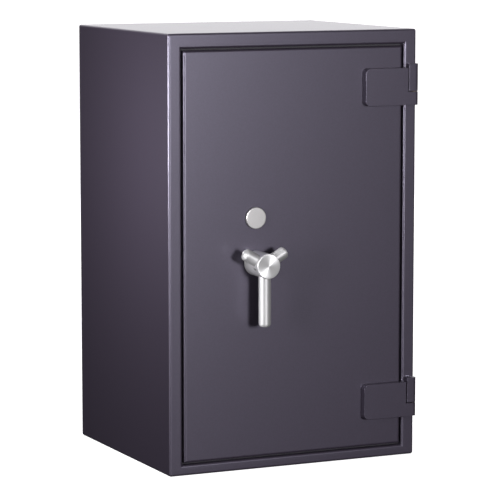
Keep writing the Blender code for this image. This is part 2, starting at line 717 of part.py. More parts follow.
def bolt_bar():
    """Upright bar that carries the bolts, with a notched arm that the lock bolt blocks."""
    bar = block("bolt_bar", "zinc", BAR_X, (BOLT_Y - 10, BOLT_Y + 11), (100, 700))
    join_block(bar, (BAR_X[0] + 1, AXIS_X + THROW + 14), LOCK_BOLT_Y, ARM_BAR_Z)
    for middle in (AXIS_X, AXIS_X + THROW):
        half = LOCK_BOLT_W / 2 + 0.4
        cut_block(bar, (middle - half, middle + half), (LOCK_BOLT_Y[0] - OVER, LOCK_BOLT_Y[1] + OVER),
                  (ARM_BAR_Z[1] - NOTCH_DEPTH, ARM_BAR_Z[1] + OVER))
    for z in BOLT_Z:
        cut_rod(bar, (BAR_X[0] - OVER, BOLT_Y, z), (BAR_X[1] + OVER, BOLT_Y, z), TAIL_R + GAP)


BOLT_CHAMFER = 3.0


def bolt(number, z):
    """Round locking bolt with a chamfered tip and a thin tail through the bar."""
    shoulder = BAR_X[0] - GAP
    length, tail = shoulder - BOLT_TIP_X, TAIL_END_X - shoulder
    turned(f"bolt_{number}", "steel", (shoulder, BOLT_Y, z), (-1, 0, 0),
           [(length, 0), (length, BOLT_R - BOLT_CHAMFER), (length - BOLT_CHAMFER, BOLT_R),
            (0, BOLT_R), (0, TAIL_R), (-tail, TAIL_R), (-tail, 0)])


# ---------------------------------------------------------------- lock


def lock_case():
    """Cast lock case with its pivot post, open towards the inside of the door."""
    case = block("lock_case", "zinc", CASE_X, CASE_Y, CASE_Z)
    floor = CASE_Y[0] + CASE_T
    cut_block(case, (CASE_X[0] + CASE_T, CASE_X[1] - CASE_T), (floor, CASE_Y[1] + OVER),
              (CASE_Z[0] + CASE_T, CASE_Z[1] - CASE_T))
    half = LOCK_BOLT_W / 2 + 0.4
    cut_block(case, (AXIS_X - half, AXIS_X + half), (LOCK_BOLT_Y[0] - 0.4, LOCK_BOLT_Y[1] + 0.4),
              (CASE_Z[0] - OVER, CASE_Z[0] + 8))
    cut_rod(case, (AXIS_X, CASE_Y[0] - OVER, KEY_Z), (AXIS_X, floor + OVER, KEY_Z), KEY_BARREL_R + 0.5)
    join_rod(case, (PIVOT_X, floor - 1, PIVOT_Z), (PIVOT_X, CASE_Y[1] - 0.5, PIVOT_Z), PIVOT_R, 16)


LOCK_SCREWS = [(-105.5, 513.5), (-54.5, 416.5)]


def lock_cover():
    """Plate screwed over the open side of the lock case."""
    cover = block("lock_cover", "zinc", CASE_X, (CASE_Y[1] + GAP, CASE_Y[1] + GAP + COVER_T), CASE_Z)
    for x, z in LOCK_SCREWS:
        cut_rod(cover, (x, CASE_Y[1] - OVER, z), (x, CASE_Y[1] + OVER, z), 2.2, 16)


def lock_screw(number, x, z):
    """Screw through the lock cover into the case."""
    seat = CASE_Y[1] + 2 * GAP + COVER_T
    screw(f"lock_screw_{number}", (x, seat, z), 3.2, 2.0, 1.9, seat - CASE_Y[0] - CASE_T - GAP)


def key_barrel():
    """Slotted barrel that the key turns."""
    barrel = rod("key_barrel", "brass", (AXIS_X, -200, KEY_Z), (AXIS_X, CASE_Y[1] - 0.4, KEY_Z),
                 KEY_BARREL_R)
    cut_block(barrel, (AXIS_X - 1.3, AXIS_X + 1.3), (-210, LOCK_BOLT_Y[0] - 1),
              (KEY_Z - 2 * OVER, KEY_Z + 2))


LEVER_T, LEVER_PITCH = 2.4, 3.6
LEVER_BOSS_R, LEVER_WINDOW_R = 8.0, 12.5
LEVER_OUTLINE = [(-102.0, 470.0), (-98.0, 430.0), (-60.0, 430.0), (-58.0, 482.0)]


def lever(number):
    """Flat lever that swings on the pivot post, with a window around the barrel."""
    thick = LEVER_T
    low = CASE_Y[0] + CASE_T + 2 * GAP + LEVER_PITCH * (number - 1)
    boss = arc(PIVOT_X, PIVOT_Z, LEVER_BOSS_R, 0, 180, 8)
    made = flat_part(f"lock_lever_{number}", "brass", boss + LEVER_OUTLINE, (low, low + thick))
    high = low + thick
    cut_rod(made, (PIVOT_X, low - OVER, PIVOT_Z), (PIVOT_X, high + OVER, PIVOT_Z), PIVOT_R + GAP, 16)
    cut_rod(made, (AXIS_X, low - OVER, KEY_Z), (AXIS_X, high + OVER, KEY_Z), LEVER_WINDOW_R)


def lock_bolt():
    """Flat bolt that drops from the case into the boltwork's arm."""
    half = LOCK_BOLT_W / 2
    block("lock_bolt", "brass", (AXIS_X - half, AXIS_X + half), LOCK_BOLT_Y, (CASE_Z[0] + 0.5, 452.0))


outer_shell()
back_panel()
barrier_fill()
inner_liner()
door_frame()
fire_seal()
for side_name, side_sign in (("left", -1), ("right", 1)):
    shelf_rail(side_name, side_sign)
for shelf_name, shelf_z in SHELF_Z.items():
    shelf(shelf_name, shelf_z)
for side_name, (hole_x, hole_y) in ANCHORS.items():
    anchor_plug(side_name, hole_x, hole_y)
for level_name, (strap_low, strap_high, barrel_top) in HINGES.items():
    hinge_knuckle(level_name, strap_low, barrel_top)
    hinge_pin(level_name, strap_low, barrel_top)
    hinge_washer(level_name, strap_low)
    hinge_strap(level_name, strap_low, strap_high)
door_plate()
door_pan()
door_barrier()
hard_plate()
inner_cover()
for index, (screw_x, screw_z) in enumerate(SCREW_POINTS, 1):
    cover_screw(index, screw_x, screw_z)
for index, dog_z in enumerate(DOG_Z, 1):
    dog_bolt(index, dog_z)
bolt_guide("lower", 100.0, 275.0)
bolt_guide("upper", 535.0, 700.0)
spindle_bush()
key_escutcheon()
key_cover()
handle_hub()
for arm_name, arm_angle in ARM_ANGLES.items():
    handle_arm(arm_name, arm_angle)
handle_grub_screw()
spindle()
pinion()
rack()
bolt_bar()
for index, bolt_z in enumerate(BOLT_Z, 1):
    bolt(index, bolt_z)
lock_case()
lock_cover()
for index, (screw_x, screw_z) in enumerate(LOCK_SCREWS, 1):
    lock_screw(index, screw_x, screw_z)
key_barrel()
for index in range(1, LEVERS + 1):
    lever(index)
lock_bolt()

lock_levers = [f"lock_lever_{index}" for index in range(1, LEVERS + 1)]
door_axis = joint("door_axis", (HINGE_X, HINGE_Y, HEIGHT / 2), None, [
    "upper_hinge_strap", "lower_hinge_strap", "door_plate", "door_pan", "door_barrier",
    "hard_plate", "inner_cover", "cover_screw_1", "cover_screw_2", "cover_screw_3",
    "cover_screw_4", "dog_bolt_1", "dog_bolt_2", "dog_bolt_3", "lower_bolt_guide",
    "upper_bolt_guide", "spindle_bush", "key_escutcheon", "lock_case", "lock_cover",
    "lock_screw_1", "lock_screw_2"])
joint("handle_axis", (AXIS_X, HUB_Y[0], AXIS_Z), door_axis, [
    "handle_hub", "handle_long_arm", "handle_left_arm", "handle_right_arm",
    "handle_grub_screw", "spindle", "pinion"])
joint("boltwork_slide", (BAR_X[0], BOLT_Y, AXIS_Z), door_axis,
      ["bolt_bar", "rack", "bolt_1", "bolt_2", "bolt_3", "bolt_4"])
joint("key_axis", (AXIS_X, ESCUTCHEON_FRONT, KEY_Z), door_axis, ["key_barrel"])
joint("lever_axis", (PIVOT_X, CASE_Y[0], PIVOT_Z), door_axis, lock_levers)
joint("lock_bolt_slide", (AXIS_X, LOCK_BOLT_Y[0], CASE_Z[0]), door_axis, ["lock_bolt"])
joint("key_cover_axis", (AXIS_X, COVER_Y[0], COVER_PIVOT_Z), door_axis, ["key_cover"])
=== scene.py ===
import math

import bmesh
import bpy
from mathutils import Matrix, Vector


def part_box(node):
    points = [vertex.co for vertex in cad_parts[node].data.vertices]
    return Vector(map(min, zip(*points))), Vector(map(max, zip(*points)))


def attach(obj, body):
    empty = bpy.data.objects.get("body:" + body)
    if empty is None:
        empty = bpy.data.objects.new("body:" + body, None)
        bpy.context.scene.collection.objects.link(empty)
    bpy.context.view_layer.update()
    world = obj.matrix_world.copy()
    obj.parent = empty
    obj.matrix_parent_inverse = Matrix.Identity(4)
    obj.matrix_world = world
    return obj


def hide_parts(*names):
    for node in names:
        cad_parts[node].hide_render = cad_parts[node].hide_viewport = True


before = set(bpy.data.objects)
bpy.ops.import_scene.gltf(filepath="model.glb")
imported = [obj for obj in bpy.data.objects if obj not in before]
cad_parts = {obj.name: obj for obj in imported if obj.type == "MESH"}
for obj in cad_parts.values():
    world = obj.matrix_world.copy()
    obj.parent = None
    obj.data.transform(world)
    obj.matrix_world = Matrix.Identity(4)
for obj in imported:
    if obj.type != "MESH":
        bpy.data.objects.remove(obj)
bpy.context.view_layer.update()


# Body shell. A 3 mm steel sheet is folded round all four sides, turned in at the front to make the
# lips beside the door and turned back again behind them, then welded at the corners. It is
# powder coated graphite, which leaves a faint grain and a soft sheen.

SHEET, SHELL_BEND = 0.003, 0.0042
TIGHTEST, LIP_CORNER, INNER_CORNER = 0.0004, 0.0006, 0.0012
# The gap round the door, and the hair's breadth between pieces that touch or are welded.
DOOR_GAP, SEAM = 0.0036, 0.0003


def linear(code):
    """An sRGB hex colour as the linear colour that a shader takes."""
    levels = [int(code[i:i + 2], 16) / 255 for i in (1, 3, 5)]
    return (*[c / 12.92 if c <= 0.04045 else ((c + 0.055) / 1.055) ** 2.4 for c in levels], 1.0)


def set_inputs(tree, node, inputs):
    """Set or link inputs by name; a node given as a value stands for its first output."""
    for key, value in inputs.items():
        if isinstance(value, bpy.types.Node):
            value = value.outputs[0]
        if isinstance(value, bpy.types.NodeSocket):
            tree.links.new(value, node.inputs[key])
        else:
            node.inputs[key].default_value = value


def add_node(tree, kind, inputs=None, **settings):
    """Add a node with its settings, and set or link its inputs."""
    made = tree.nodes.new(kind)
    for name, value in settings.items():
        setattr(made, name, value)
    set_inputs(tree, made, inputs or {})
    return made


def set_shader(finish, inputs):
    """Set or link inputs of a finish's shader."""
    tree = finish.node_tree
    set_inputs(tree, tree.nodes["Principled BSDF"], inputs)


def plain_finish(name, colour, metallic, roughness):
    """A material with one colour and one gloss, which a section may then add its grain to."""
    finish = bpy.data.materials.new(name)
    finish.use_nodes = True
    set_shader(finish, {"Base Color": linear(colour), "Metallic": metallic, "Roughness": roughness})
    return finish


def add_grain(finish, cells, depth, stretch=(1, 1, 1), gloss=None):
    """Give a finish a fine uneven surface: cells per metre, depth in metres."""
    tree = finish.node_tree
    place = add_node(tree, "ShaderNodeTexCoord").outputs["Object"]
    spread = add_node(tree, "ShaderNodeMapping", {"Vector": place, "Scale": stretch})
    noise = add_node(tree, "ShaderNodeTexNoise", {"Vector": spread, "Scale": cells, "Detail": 3.0,
                                                  "Roughness": 0.6})
    bump = add_node(tree, "ShaderNodeBump", {"Height": noise, "Distance": depth})
    set_shader(finish, {"Normal": bump})
    if gloss:
        uneven = add_node(tree, "ShaderNodeMapRange", {"Value": noise, "From Min": 0.3,
                                                       "From Max": 0.7, "To Min": gloss[0],
                                                       "To Max": gloss[1]})
        set_shader(finish, {"Roughness": uneven})
    return finish


def graphite_powder_coat():
    """Baked polyester powder: dark, faintly violet grey, with a grain of about a millimetre."""
    finish = plain_finish("graphite_powder_coat", "#29242d", 0.0, 0.35)
    add_grain(finish, 900.0, 0.00005, gloss=(0.325, 0.375))
    tree = finish.node_tree
    place = add_node(tree, "ShaderNodeTexCoord").outputs["Object"]
    speck = add_node(tree, "ShaderNodeTexNoise", {"Vector": place, "Scale": 420.0, "Detail": 4.0})
    tint = add_node(tree, "ShaderNodeValToRGB", {"Fac": speck})
    for stop, spot, code in zip(tint.color_ramp.elements, (0.34, 0.68), ("#252029", "#2d2832")):
        stop.position, stop.color = spot, linear(code)
    set_shader(finish, {"Base Color": tint, "Specular IOR Level": 1.0,
                        "Specular Tint": linear("#ebe5ff")})
    return finish


GRAPHITE = graphite_powder_coat()


def add_object(name, data):
    """An object made of a mesh, a light or a camera, in the scene."""
    made = bpy.data.objects.new(name, data)
    bpy.context.scene.collection.objects.link(made)
    return made


def mesh_object(name, bm):
    """Turn a bmesh into an object as it is."""
    mesh = bpy.data.meshes.new(name)
    bm.to_mesh(mesh)
    bm.free()
    return add_object(name, mesh)


def new_piece(name, bm):
    """Turn a bmesh into an object, with its doubles merged and its faces pointing outwards."""
    bmesh.ops.remove_doubles(bm, verts=bm.verts, dist=1e-6)
    bmesh.ops.recalc_face_normals(bm, faces=bm.faces)
    return mesh_object(name, bm)


def rounded_loop(bm, x, z, y, radius, steps=4):
    """One loop round a rectangle in X and Z at a depth of y, with round corners."""
    corners = [(x[1], z[1], 0), (x[0], z[1], 90), (x[0], z[0], 180), (x[1], z[0], 270)]
    loop = []
    for corner_x, corner_z, start in corners:
        inner_x = corner_x + (radius if corner_x == x[0] else -radius)
        inner_z = corner_z + (radius if corner_z == z[0] else -radius)
        for step in range(steps + 1):
            angle = math.radians(start + 90 * step / steps)
            loop.append(bm.verts.new((inner_x + radius * math.cos(angle), y,
                                      inner_z + radius * math.sin(angle))))
    return loop


def skin(bm, loops, capped=True):
    """Join loops one after another, and close the two ends."""
    for first, second in zip(loops, loops[1:]):
        for i in range(len(first)):
            j = (i + 1) % len(first)
            bm.faces.new((first[i], first[j], second[j], second[i]))
    if capped:
        bm.faces.new(loops[0])
        bm.faces.new(loops[-1])


def lofted(name, box, rows, ring=False, steps=4):
    """Skin loops set in from a box, capped at both ends or joined round into a ring.

    Each row is an inset, a depth and a corner radius. The inset is one number, or three for the
    sides, the bottom and the top.
    """
    bm = bmesh.new()
    low, high = box
    loops = []
    for inset, y, radius in rows:
        side, under, over = inset if isinstance(inset, tuple) else (inset,) * 3
        loops.append(rounded_loop(bm, (low.x + side, high.x - side),
                                  (low.z + under, high.z - over), y, radius, steps))
    skin(bm, loops + loops[:1] if ring else loops, capped=not ring)
    return new_piece(name, bm)


def smooth(piece):
    """Shade the rounds smooth, and keep the flats flat up to the rounds."""
    piece.data.shade_smooth()
    piece.data.set_sharp_from_angle(angle=math.radians(35))
    even = piece.modifiers.new("flat_faces_lead", "WEIGHTED_NORMAL")
    even.keep_sharp = True
    even.weight = 100
    return piece


def fit(piece, finish, body, slot, *nodes):
    """Finish a piece and mount it on its body, in place of the nodes that it stands for."""
    piece.data.materials.clear()
    piece.data.materials.append(finish)
    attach(piece, body)
    if nodes:
        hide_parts(*nodes)


shell_low, shell_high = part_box("outer_shell")
ring_low, ring_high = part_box("door_frame")
plate_low, plate_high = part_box("door_plate")


def bend(start, end, steps=5):
    """Fractions (sine, cosine) of a quarter bend, from one angle to another."""
    angles = [math.radians(start + (end - start) * i / steps) for i in range(steps + 1)]
    return [(math.sin(a), math.cos(a)) for a in angles]


def folded_shell():
    """Rows from the back edge, round the front lips to the returns, and back inside."""
    front, back = shell_low.y, shell_high.y
    lips = (plate_low.x - DOOR_GAP - shell_low.x, plate_low.z - DOOR_GAP - shell_low.z,
            shell_high.z - plate_high.z - DOOR_GAP)
    rows = [(0, back, SHELL_BEND)]
    for rise, run in bend(0, 90):
        inset = SHELL_BEND * (1 - run)
        rows.append((inset, front + SHELL_BEND * (1 - rise), max(TIGHTEST, SHELL_BEND - inset)))
    for rise, run in bend(90, 0):
        out = SHELL_BEND * run
        rows.append((tuple(lip - SHELL_BEND + out for lip in lips),
                     front + SHELL_BEND * (1 - rise), LIP_CORNER))
    end = ring_low.y - SEAM
    behind = tuple(lip - SHEET for lip in lips)
    rows += [(lips, end, LIP_CORNER), (behind, end, LIP_CORNER),
             (behind, front + SHEET, LIP_CORNER), (SHEET, front + SHEET, INNER_CORNER),
             (SHEET, back, INNER_CORNER)]
    return lofted("body_shell", (shell_low, shell_high), rows, ring=True)


fit(smooth(folded_shell()), GRAPHITE, "cabinet", "powder_coat", "outer_shell")


# Back panel. The plate that closes the body is set in flush between the walls and stitched to them
# with short runs of weld, which show as low rippled beads under the paint.

def block(name, low, high):
    """A plain rectangular piece between two corners."""
    bm = bmesh.new()
    bmesh.ops.create_cube(bm, size=1.0)
    low, high = Vector(low), Vector(high)
    bmesh.ops.scale(bm, vec=high - low, verts=bm.verts)
    bmesh.ops.translate(bm, vec=(low + high) / 2, verts=bm.verts)
    return new_piece(name, bm)


def eased(piece, width, segments=3):
    """Round a piece's edges."""
    rounded = piece.modifiers.new("eased_edges", "BEVEL")
    rounded.width = width
    rounded.segments = segments
    rounded.limit_method = "ANGLE"
    return piece


BACK_EASE = 0.0006
back_low, back_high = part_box("back_panel")
fit(smooth(eased(block("back_plate", back_low, back_high), BACK_EASE)), GRAPHITE, "cabinet",
    "powder_coat", "back_panel")


def node_group(name, inputs):
    """A tree that takes and gives geometry, with its other inputs by name and kind."""
    tree = bpy.data.node_groups.new(name, "GeometryNodeTree")
    for label, kind in {"Geometry": "Geometry", **inputs}.items():
        tree.interface.new_socket(label, in_out="INPUT", socket_type=f"NodeSocket{kind}")
    tree.interface.new_socket("Geometry", in_out="OUTPUT", socket_type="NodeSocketGeometry")
    return tree, add_node(tree, "NodeGroupInput").outputs


def weld_tree():
    """Nodes that lay overlapping flattened beads along an edge, as a welder's stitch does."""
    tree, given = node_group("stitch_weld", {"Bead Step": "Float", "Bead Radius": "Float",
                                             "Paint": "Material"})
    curve = add_node(tree, "GeometryNodeMeshToCurve", {"Mesh": given["Geometry"]})
    points = add_node(tree, "GeometryNodeResampleCurve",
                      {"Curve": curve, "Length": given["Bead Step"]}, mode="LENGTH")
    ball = add_node(tree, "GeometryNodeMeshUVSphere",
                    {"Segments": 10, "Rings": 6, "Radius": given["Bead Radius"]})
    flat = add_node(tree, "GeometryNodeTransform", {"Geometry": ball, "Scale": (1.0, 0.3, 1.0)})
    size = add_node(tree, "FunctionNodeRandomValue", {2: 0.85, 3: 1.1, "Seed": 4},
                    data_type="FLOAT")
    laid = add_node(tree, "GeometryNodeInstanceOnPoints",
                    {"Points": points, "Instance": flat, "Scale": size.outputs[1]})
    real = add_node(tree, "GeometryNodeRealizeInstances", {"Geometry": laid})
    painted = add_node(tree, "GeometryNodeSetMaterial",
                       {"Geometry": real, "Material": given["Paint"]})
    soft = add_node(tree, "GeometryNodeSetShadeSmooth", {"Geometry": painted})
    add_node(tree, "NodeGroupOutput", {"Geometry": soft})
    return tree


def run_nodes(piece, tree, **values):
    """Put a node tree on a piece, set its named inputs and turn the result into a plain mesh."""
    step = piece.modifiers.new("nodes", "NODES")
    step.node_group = tree
    for item in tree.interface.items_tree:
        name = item.name.lower().replace(" ", "_")
        if item.in_out == "INPUT" and name in values:
            step[item.identifier] = values[name]
    shaped = piece.evaluated_get(bpy.context.evaluated_depsgraph_get())
    mesh = bpy.data.meshes.new_from_object(shaped)
    piece.modifiers.remove(step)
    piece.data = mesh
    return piece


def stitch_path(name, runs):
    """Straight edges, one for each run of weld."""
    bm = bmesh.new()
    for start, end in runs:
        bm.edges.new((bm.verts.new(start), bm.verts.new(end)))
    return mesh_object(name, bm)


STITCH_PITCH, STITCH_RUN = 0.100, 0.035
FIRST_UP, FIRST_ACROSS = 0.35, 0.6
BEAD_R, BEAD_STEP, BEAD_SINK = 0.0028, 0.0017, 0.0004
STITCH_WELD = weld_tree()


def back_stitches():
    """Runs of weld all round the seam between the back plate and the walls."""
    runs = []
    y = back_high.y - BEAD_SINK
    for x in (back_low.x, back_high.x):
        for n in range(int((back_high.z - back_low.z) / STITCH_PITCH)):
            z = back_low.z + (n + FIRST_UP) * STITCH_PITCH
            runs.append(((x, y, z), (x, y, z + STITCH_RUN)))
    for z in (back_low.z, back_high.z):
        for n in range(int((back_high.x - back_low.x) / STITCH_PITCH)):
            x = back_low.x + (n + FIRST_ACROSS) * STITCH_PITCH
            runs.append(((x, y, z), (x + STITCH_RUN, y, z)))
    return runs


back_beads = run_nodes(stitch_path("back_welds", back_stitches()), STITCH_WELD,
                       bead_step=BEAD_STEP, bead_radius=BEAD_R, paint=GRAPHITE)
fit(back_beads, GRAPHITE, "cabinet", "powder_coat")


# Barriers. Cast mineral mix poured between the shell and the liner and into the door, against fire
# and drills. It is never seen on a whole safe: a pale, rough, cement-like block.

# A dry cast mix scatters all its light and is pitted by grains of about 4 mm.
CAST_MIX = add_grain(plain_finish("cast_mineral_mix", "#b3ac9f", 0.0, 0.92), 260.0, 0.0012)


def finish_node(node, finish):
    """Give a CAD piece that stays as it is a finish of its own."""
    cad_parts[node].data.materials.clear()
    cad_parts[node].data.materials.append(finish)


for barrier in ("barrier_fill", "door_barrier"):
    finish_node(barrier, CAST_MIX)


# Liner. A thin folded steel box with soft bends, which lines the compartment. It is sprayed a
# pale warm grey so that what is kept inside is easy to see.

LINER_BEND, LINER_T = 0.004, 0.002
# Sprayed enamel is smoother than powder: a half gloss with a barely seen orange peel.
PALE_PAINT = add_grain(plain_finish("pale_grey_enamel", "#b9bab8", 0.0, 0.45), 700.0, 0.00003,
                       gloss=(0.4, 0.5))
liner_low, liner_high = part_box("inner_liner")


def folded_liner():
    """A box open at the front: the outside up to the back, then the inside down to the mouth."""
    bm = bmesh.new()
    x, z = (liner_low.x, liner_high.x), (liner_low.z, liner_high.z)
    inner_x = (x[0] + LINER_T, x[1] - LINER_T)
    inner_z = (z[0] + LINER_T, z[1] - LINER_T)
    loops = [rounded_loop(bm, x, z, liner_low.y, LINER_BEND),
             rounded_loop(bm, x, z, liner_high.y, LINER_BEND)]
    skin(bm, loops, capped=False)
    bm.faces.new(loops[1])
    inside = [rounded_loop(bm, inner_x, inner_z, liner_low.y, LINER_BEND - LINER_T),
              rounded_loop(bm, inner_x, inner_z, liner_high.y - LINER_T, LINER_BEND - LINER_T)]
    skin(bm, inside, capped=False)
    bm.faces.new(inside[1])
    skin(bm, [loops[0], inside[0]], capped=False)
    return new_piece("liner_box", bm)


def rod(name, start, end, radius, steps=48):
    """A plain round bar from one point to another."""
    bm = bmesh.new()
    start, end = Vector(start), Vector(end)
    bmesh.ops.create_cone(bm, cap_ends=True, segments=steps, radius1=radius, radius2=radius,
                          depth=(end - start).length)
    turn = (end - start).to_track_quat("Z", "Y").to_matrix().to_4x4()
    bmesh.ops.transform(bm, matrix=Matrix.Translation((start + end) / 2) @ turn, verts=bm.verts)
    return new_piece(name, bm)


def combine(piece, tools, operation="DIFFERENCE"):
    """Cut tools from a piece, or join them to it, and keep one plain mesh."""
    for tool in tools:
        step = piece.modifiers.new("cut", "BOOLEAN")
        step.operation = operation
        step.object = tool
        step.solver = "EXACT"
    shaped = piece.evaluated_get(bpy.context.evaluated_depsgraph_get())
    mesh = bpy.data.meshes.new_from_object(shaped)
    piece.modifiers.clear()
    piece.data = mesh
    for tool in tools:
        bpy.data.objects.remove(tool, do_unlink=True)
    return piece


def middle(pair):
    """The middle of a box given by its two corners."""
    return (pair[0] + pair[1]) / 2


ANCHOR_R = 0.007
# Cutters run this far past what they cut.
PAST = 0.01
plug_boxes = [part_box(f"anchor_plug_{side}") for side in ("left", "right")]
anchors = [rod("drill", (spot.x, spot.y, liner_low.z - PAST),
               (spot.x, spot.y, liner_low.z + PAST), ANCHOR_R) for spot in map(middle, plug_boxes)]
liner = combine(folded_liner(), anchors)
fit(smooth(liner), PALE_PAINT, "cabinet", "primer", "inner_liner")


# Door frame. A thick steel ring welded in behind the lips, which the door shuts against. The bolts
# enter round pockets on the left, and the fixed dogs enter milled slots on the right. Its coat is
# matt, and its colour is painted darker than the lips as shade in the gap round the door.

RING_EASE = 0.0012
BOLT_CLEARANCE = 0.0013
POCKET_DEPTH = 0.025
DOG_SLOT_END, DOG_SLOT_Y, DOG_SLOT_H = 0.213, (-0.190, -0.148), 0.0252
bolt_boxes = [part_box(f"bolt_{n}") for n in range(1, 5)]
dog_boxes = [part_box(f"dog_bolt_{n}") for n in range(1, 4)]


def frame_ring():
    """A ring made from the frame's outside and the liner's opening, with its pockets cut."""
    tools = [block("opening", (liner_low.x, ring_low.y - PAST, liner_low.z),
                   (liner_high.x, ring_high.y + PAST, liner_high.z))]
    ring = combine(block("door_frame_ring", ring_low, ring_high), tools)
    pockets = []
    for pair in bolt_boxes:
        spot = middle(pair)
        radius = (pair[1].z - pair[0].z) / 2 + BOLT_CLEARANCE
        pockets.append(rod("pocket", (liner_low.x - POCKET_DEPTH, spot.y, spot.z),
                           (liner_low.x + PAST / 2, spot.y, spot.z), radius))
    for pair in dog_boxes:
        z = middle(pair).z
        pockets.append(block("slot",
                             (liner_high.x - PAST / 2, DOG_SLOT_Y[0], z - DOG_SLOT_H / 2),
                             (DOG_SLOT_END, DOG_SLOT_Y[1], z + DOG_SLOT_H / 2)))
    return smooth(eased(combine(ring, pockets), RING_EASE, 2))


# The same powder made matt, so no sheen lights the gap round the door; its colour is painted
# darker as shade in that gap.
MATT_PAINTED_SHADE = add_grain(plain_finish("thin_matt_coat", "#242129", 0.0, 0.75), 900.0, 0.00005)
fit(frame_ring(), MATT_PAINTED_SHADE, "cabinet", "powder_coat", "door_frame")


# Fire seal. A strip of heat-swelling graphite foam in a thin matt sleeve, stuck to the front of
# the frame ring, so that the shut door presses on it.

# A woven sleeve filled with foam: nearly black, with no shine.
SEAL_SLEEVE = add_grain(plain_finish("matt_seal_sleeve", "#26262a", 0.0, 0.85), 1500.0, 0.0001)
seal_low, seal_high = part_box("fire_seal")
SEAL_W, SEAL_ROUND, SEAL_CORNER = 0.010, 0.0008, 0.003


def seal_strip():
    """A mitred strip with softly rounded outer corners."""
    front, back = seal_low.y, seal_high.y
    turns = [(0, back), (0, front + SEAL_ROUND), (SEAL_ROUND, front),
             (SEAL_W - SEAL_ROUND, front), (SEAL_W, front + SEAL_ROUND), (SEAL_W, back)]
    return lofted("seal_strip", (seal_low, seal_high),
                  [(inset, depth, SEAL_CORNER) for inset, depth in turns], ring=True)


fit(smooth(seal_strip()), SEAL_SLEEVE, "cabinet", "seal", "fire_seal")


# Shelf rails. Zinc-plated pressings spot-welded to the sides of the liner, each with a ledge for
# both shelves and a row of punched slots.

# Bright zinc over pressed steel: bluish, a little clouded.
ZINC = add_grain(plain_finish("zinc_plate", "#b4b8bd", 1.0, 0.38), 120.0, 0.00002,
                 gloss=(0.3, 0.48))
SLOT_PITCH, SLOT_W, SLOT_H, SLOT_DEPTH, SLOTS = 0.025, 0.004, 0.012, 0.0025, 24
FIRST_SLOT = 0.015
RAIL_T, RAIL_W, RAIL_EASE = 0.006, 0.016, 0.0006
LEDGE_T = 0.0117
SHELF_T = 0.002


def row_tree():
    """Nodes that set copies of a piece out in rows: two counts and the two steps between them."""
    tree, given = node_group("set_out_in_rows", {"Count": "Int", "Second Count": "Int",
                                                 "Step": "Vector", "Second Step": "Vector",
                                                 "Finish": "Material"})
    row = add_node(tree, "GeometryNodeMeshLine", {"Count": given["Count"],
                                                  "Offset": given["Step"]})
    rows = add_node(tree, "GeometryNodeMeshLine", {"Count": given["Second Count"],
                                                   "Offset": given["Second Step"]})
    spread = add_node(tree, "GeometryNodeInstanceOnPoints", {"Points": rows, "Instance": row})
    spots = add_node(tree, "GeometryNodeRealizeInstances", {"Geometry": spread})
    copies = add_node(tree, "GeometryNodeInstanceOnPoints", {"Points": spots,
                                                             "Instance": given["Geometry"]})
    real = add_node(tree, "GeometryNodeRealizeInstances", {"Geometry": copies})
    done = add_node(tree, "GeometryNodeSetMaterial", {"Geometry": real,
                                                      "Material": given["Finish"]})
    add_node(tree, "NodeGroupOutput", {"Geometry": done})
    return tree


SET_OUT = row_tree()


def shelf_rail(side):
    """The rail's spine and its two ledges joined, then punched."""
    low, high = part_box(f"shelf_rail_{side}")
    wall, room = (low.x, low.x + RAIL_T) if side == "left" else (high.x - RAIL_T, high.x)
    rail = block(f"rail_{side}", (wall, -RAIL_W / 2, low.z), (room, RAIL_W / 2, high.z))
    ledges = []
    for name in ("lower_shelf", "upper_shelf"):
        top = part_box(name)[1].z - SHELF_T - SEAM
        ledges.append(block("ledge", (low.x, low.y, top - LEDGE_T), (high.x, high.y, top)))
    combine(rail, ledges, "UNION")
    face = room if side == "left" else wall
    punch = block("punch", (face - SLOT_DEPTH, -SLOT_W / 2, low.z + FIRST_SLOT),
                  (face + SLOT_DEPTH, SLOT_W / 2, low.z + FIRST_SLOT + SLOT_H))
    run_nodes(punch, SET_OUT, count=SLOTS, second_count=1, step=(0, 0, SLOT_PITCH),
              second_step=(0, 0, 0), finish=ZINC)
    return smooth(eased(combine(rail, [punch]), RAIL_EASE, 2))


for side_name in ("left", "right"):
    fit(shelf_rail(side_name), ZINC, "cabinet", "zinc", f"shelf_rail_{side_name}")


# Shelves. Trays of 2 mm sheet with a deep folded lip at the front and back, which lift out. They
# are sprayed like the liner.

SHELF_EASE, LIP_END = 0.0008, 0.0173


def shelf_tray(name):
    """The tray's section from front lip to back lip, drawn out across the compartment."""
    low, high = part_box(name)
    lip = high.x - LIP_END
    tray = block(f"{name}_tray", (low.x, low.y, high.z - SHELF_T), high)
    lips = [block("lip", (-lip, low.y, low.z), (lip, low.y + SHELF_T, high.z - SHELF_T / 2)),
            block("lip", (-lip, high.y - SHELF_T, low.z), (lip, high.y, high.z - SHELF_T / 2))]
    return smooth(eased(combine(tray, lips, "UNION"), SHELF_EASE, 2))


for shelf_name in ("lower_shelf", "upper_shelf"):
    fit(shelf_tray(shelf_name), PALE_PAINT, "cabinet", "primer", shelf_name)


# Anchor plugs. Soft black rubber mushrooms, moulded in one and pushed from inside into the two
# floor anchor holes, where they grip by their stems.

# Soft moulded rubber: black, and too dull to mirror anything.
RUBBER = add_grain(plain_finish("moulded_rubber", "#1d1d1f", 0.0, 0.7), 900.0, 0.00004)
UV_PER_METRE = 10


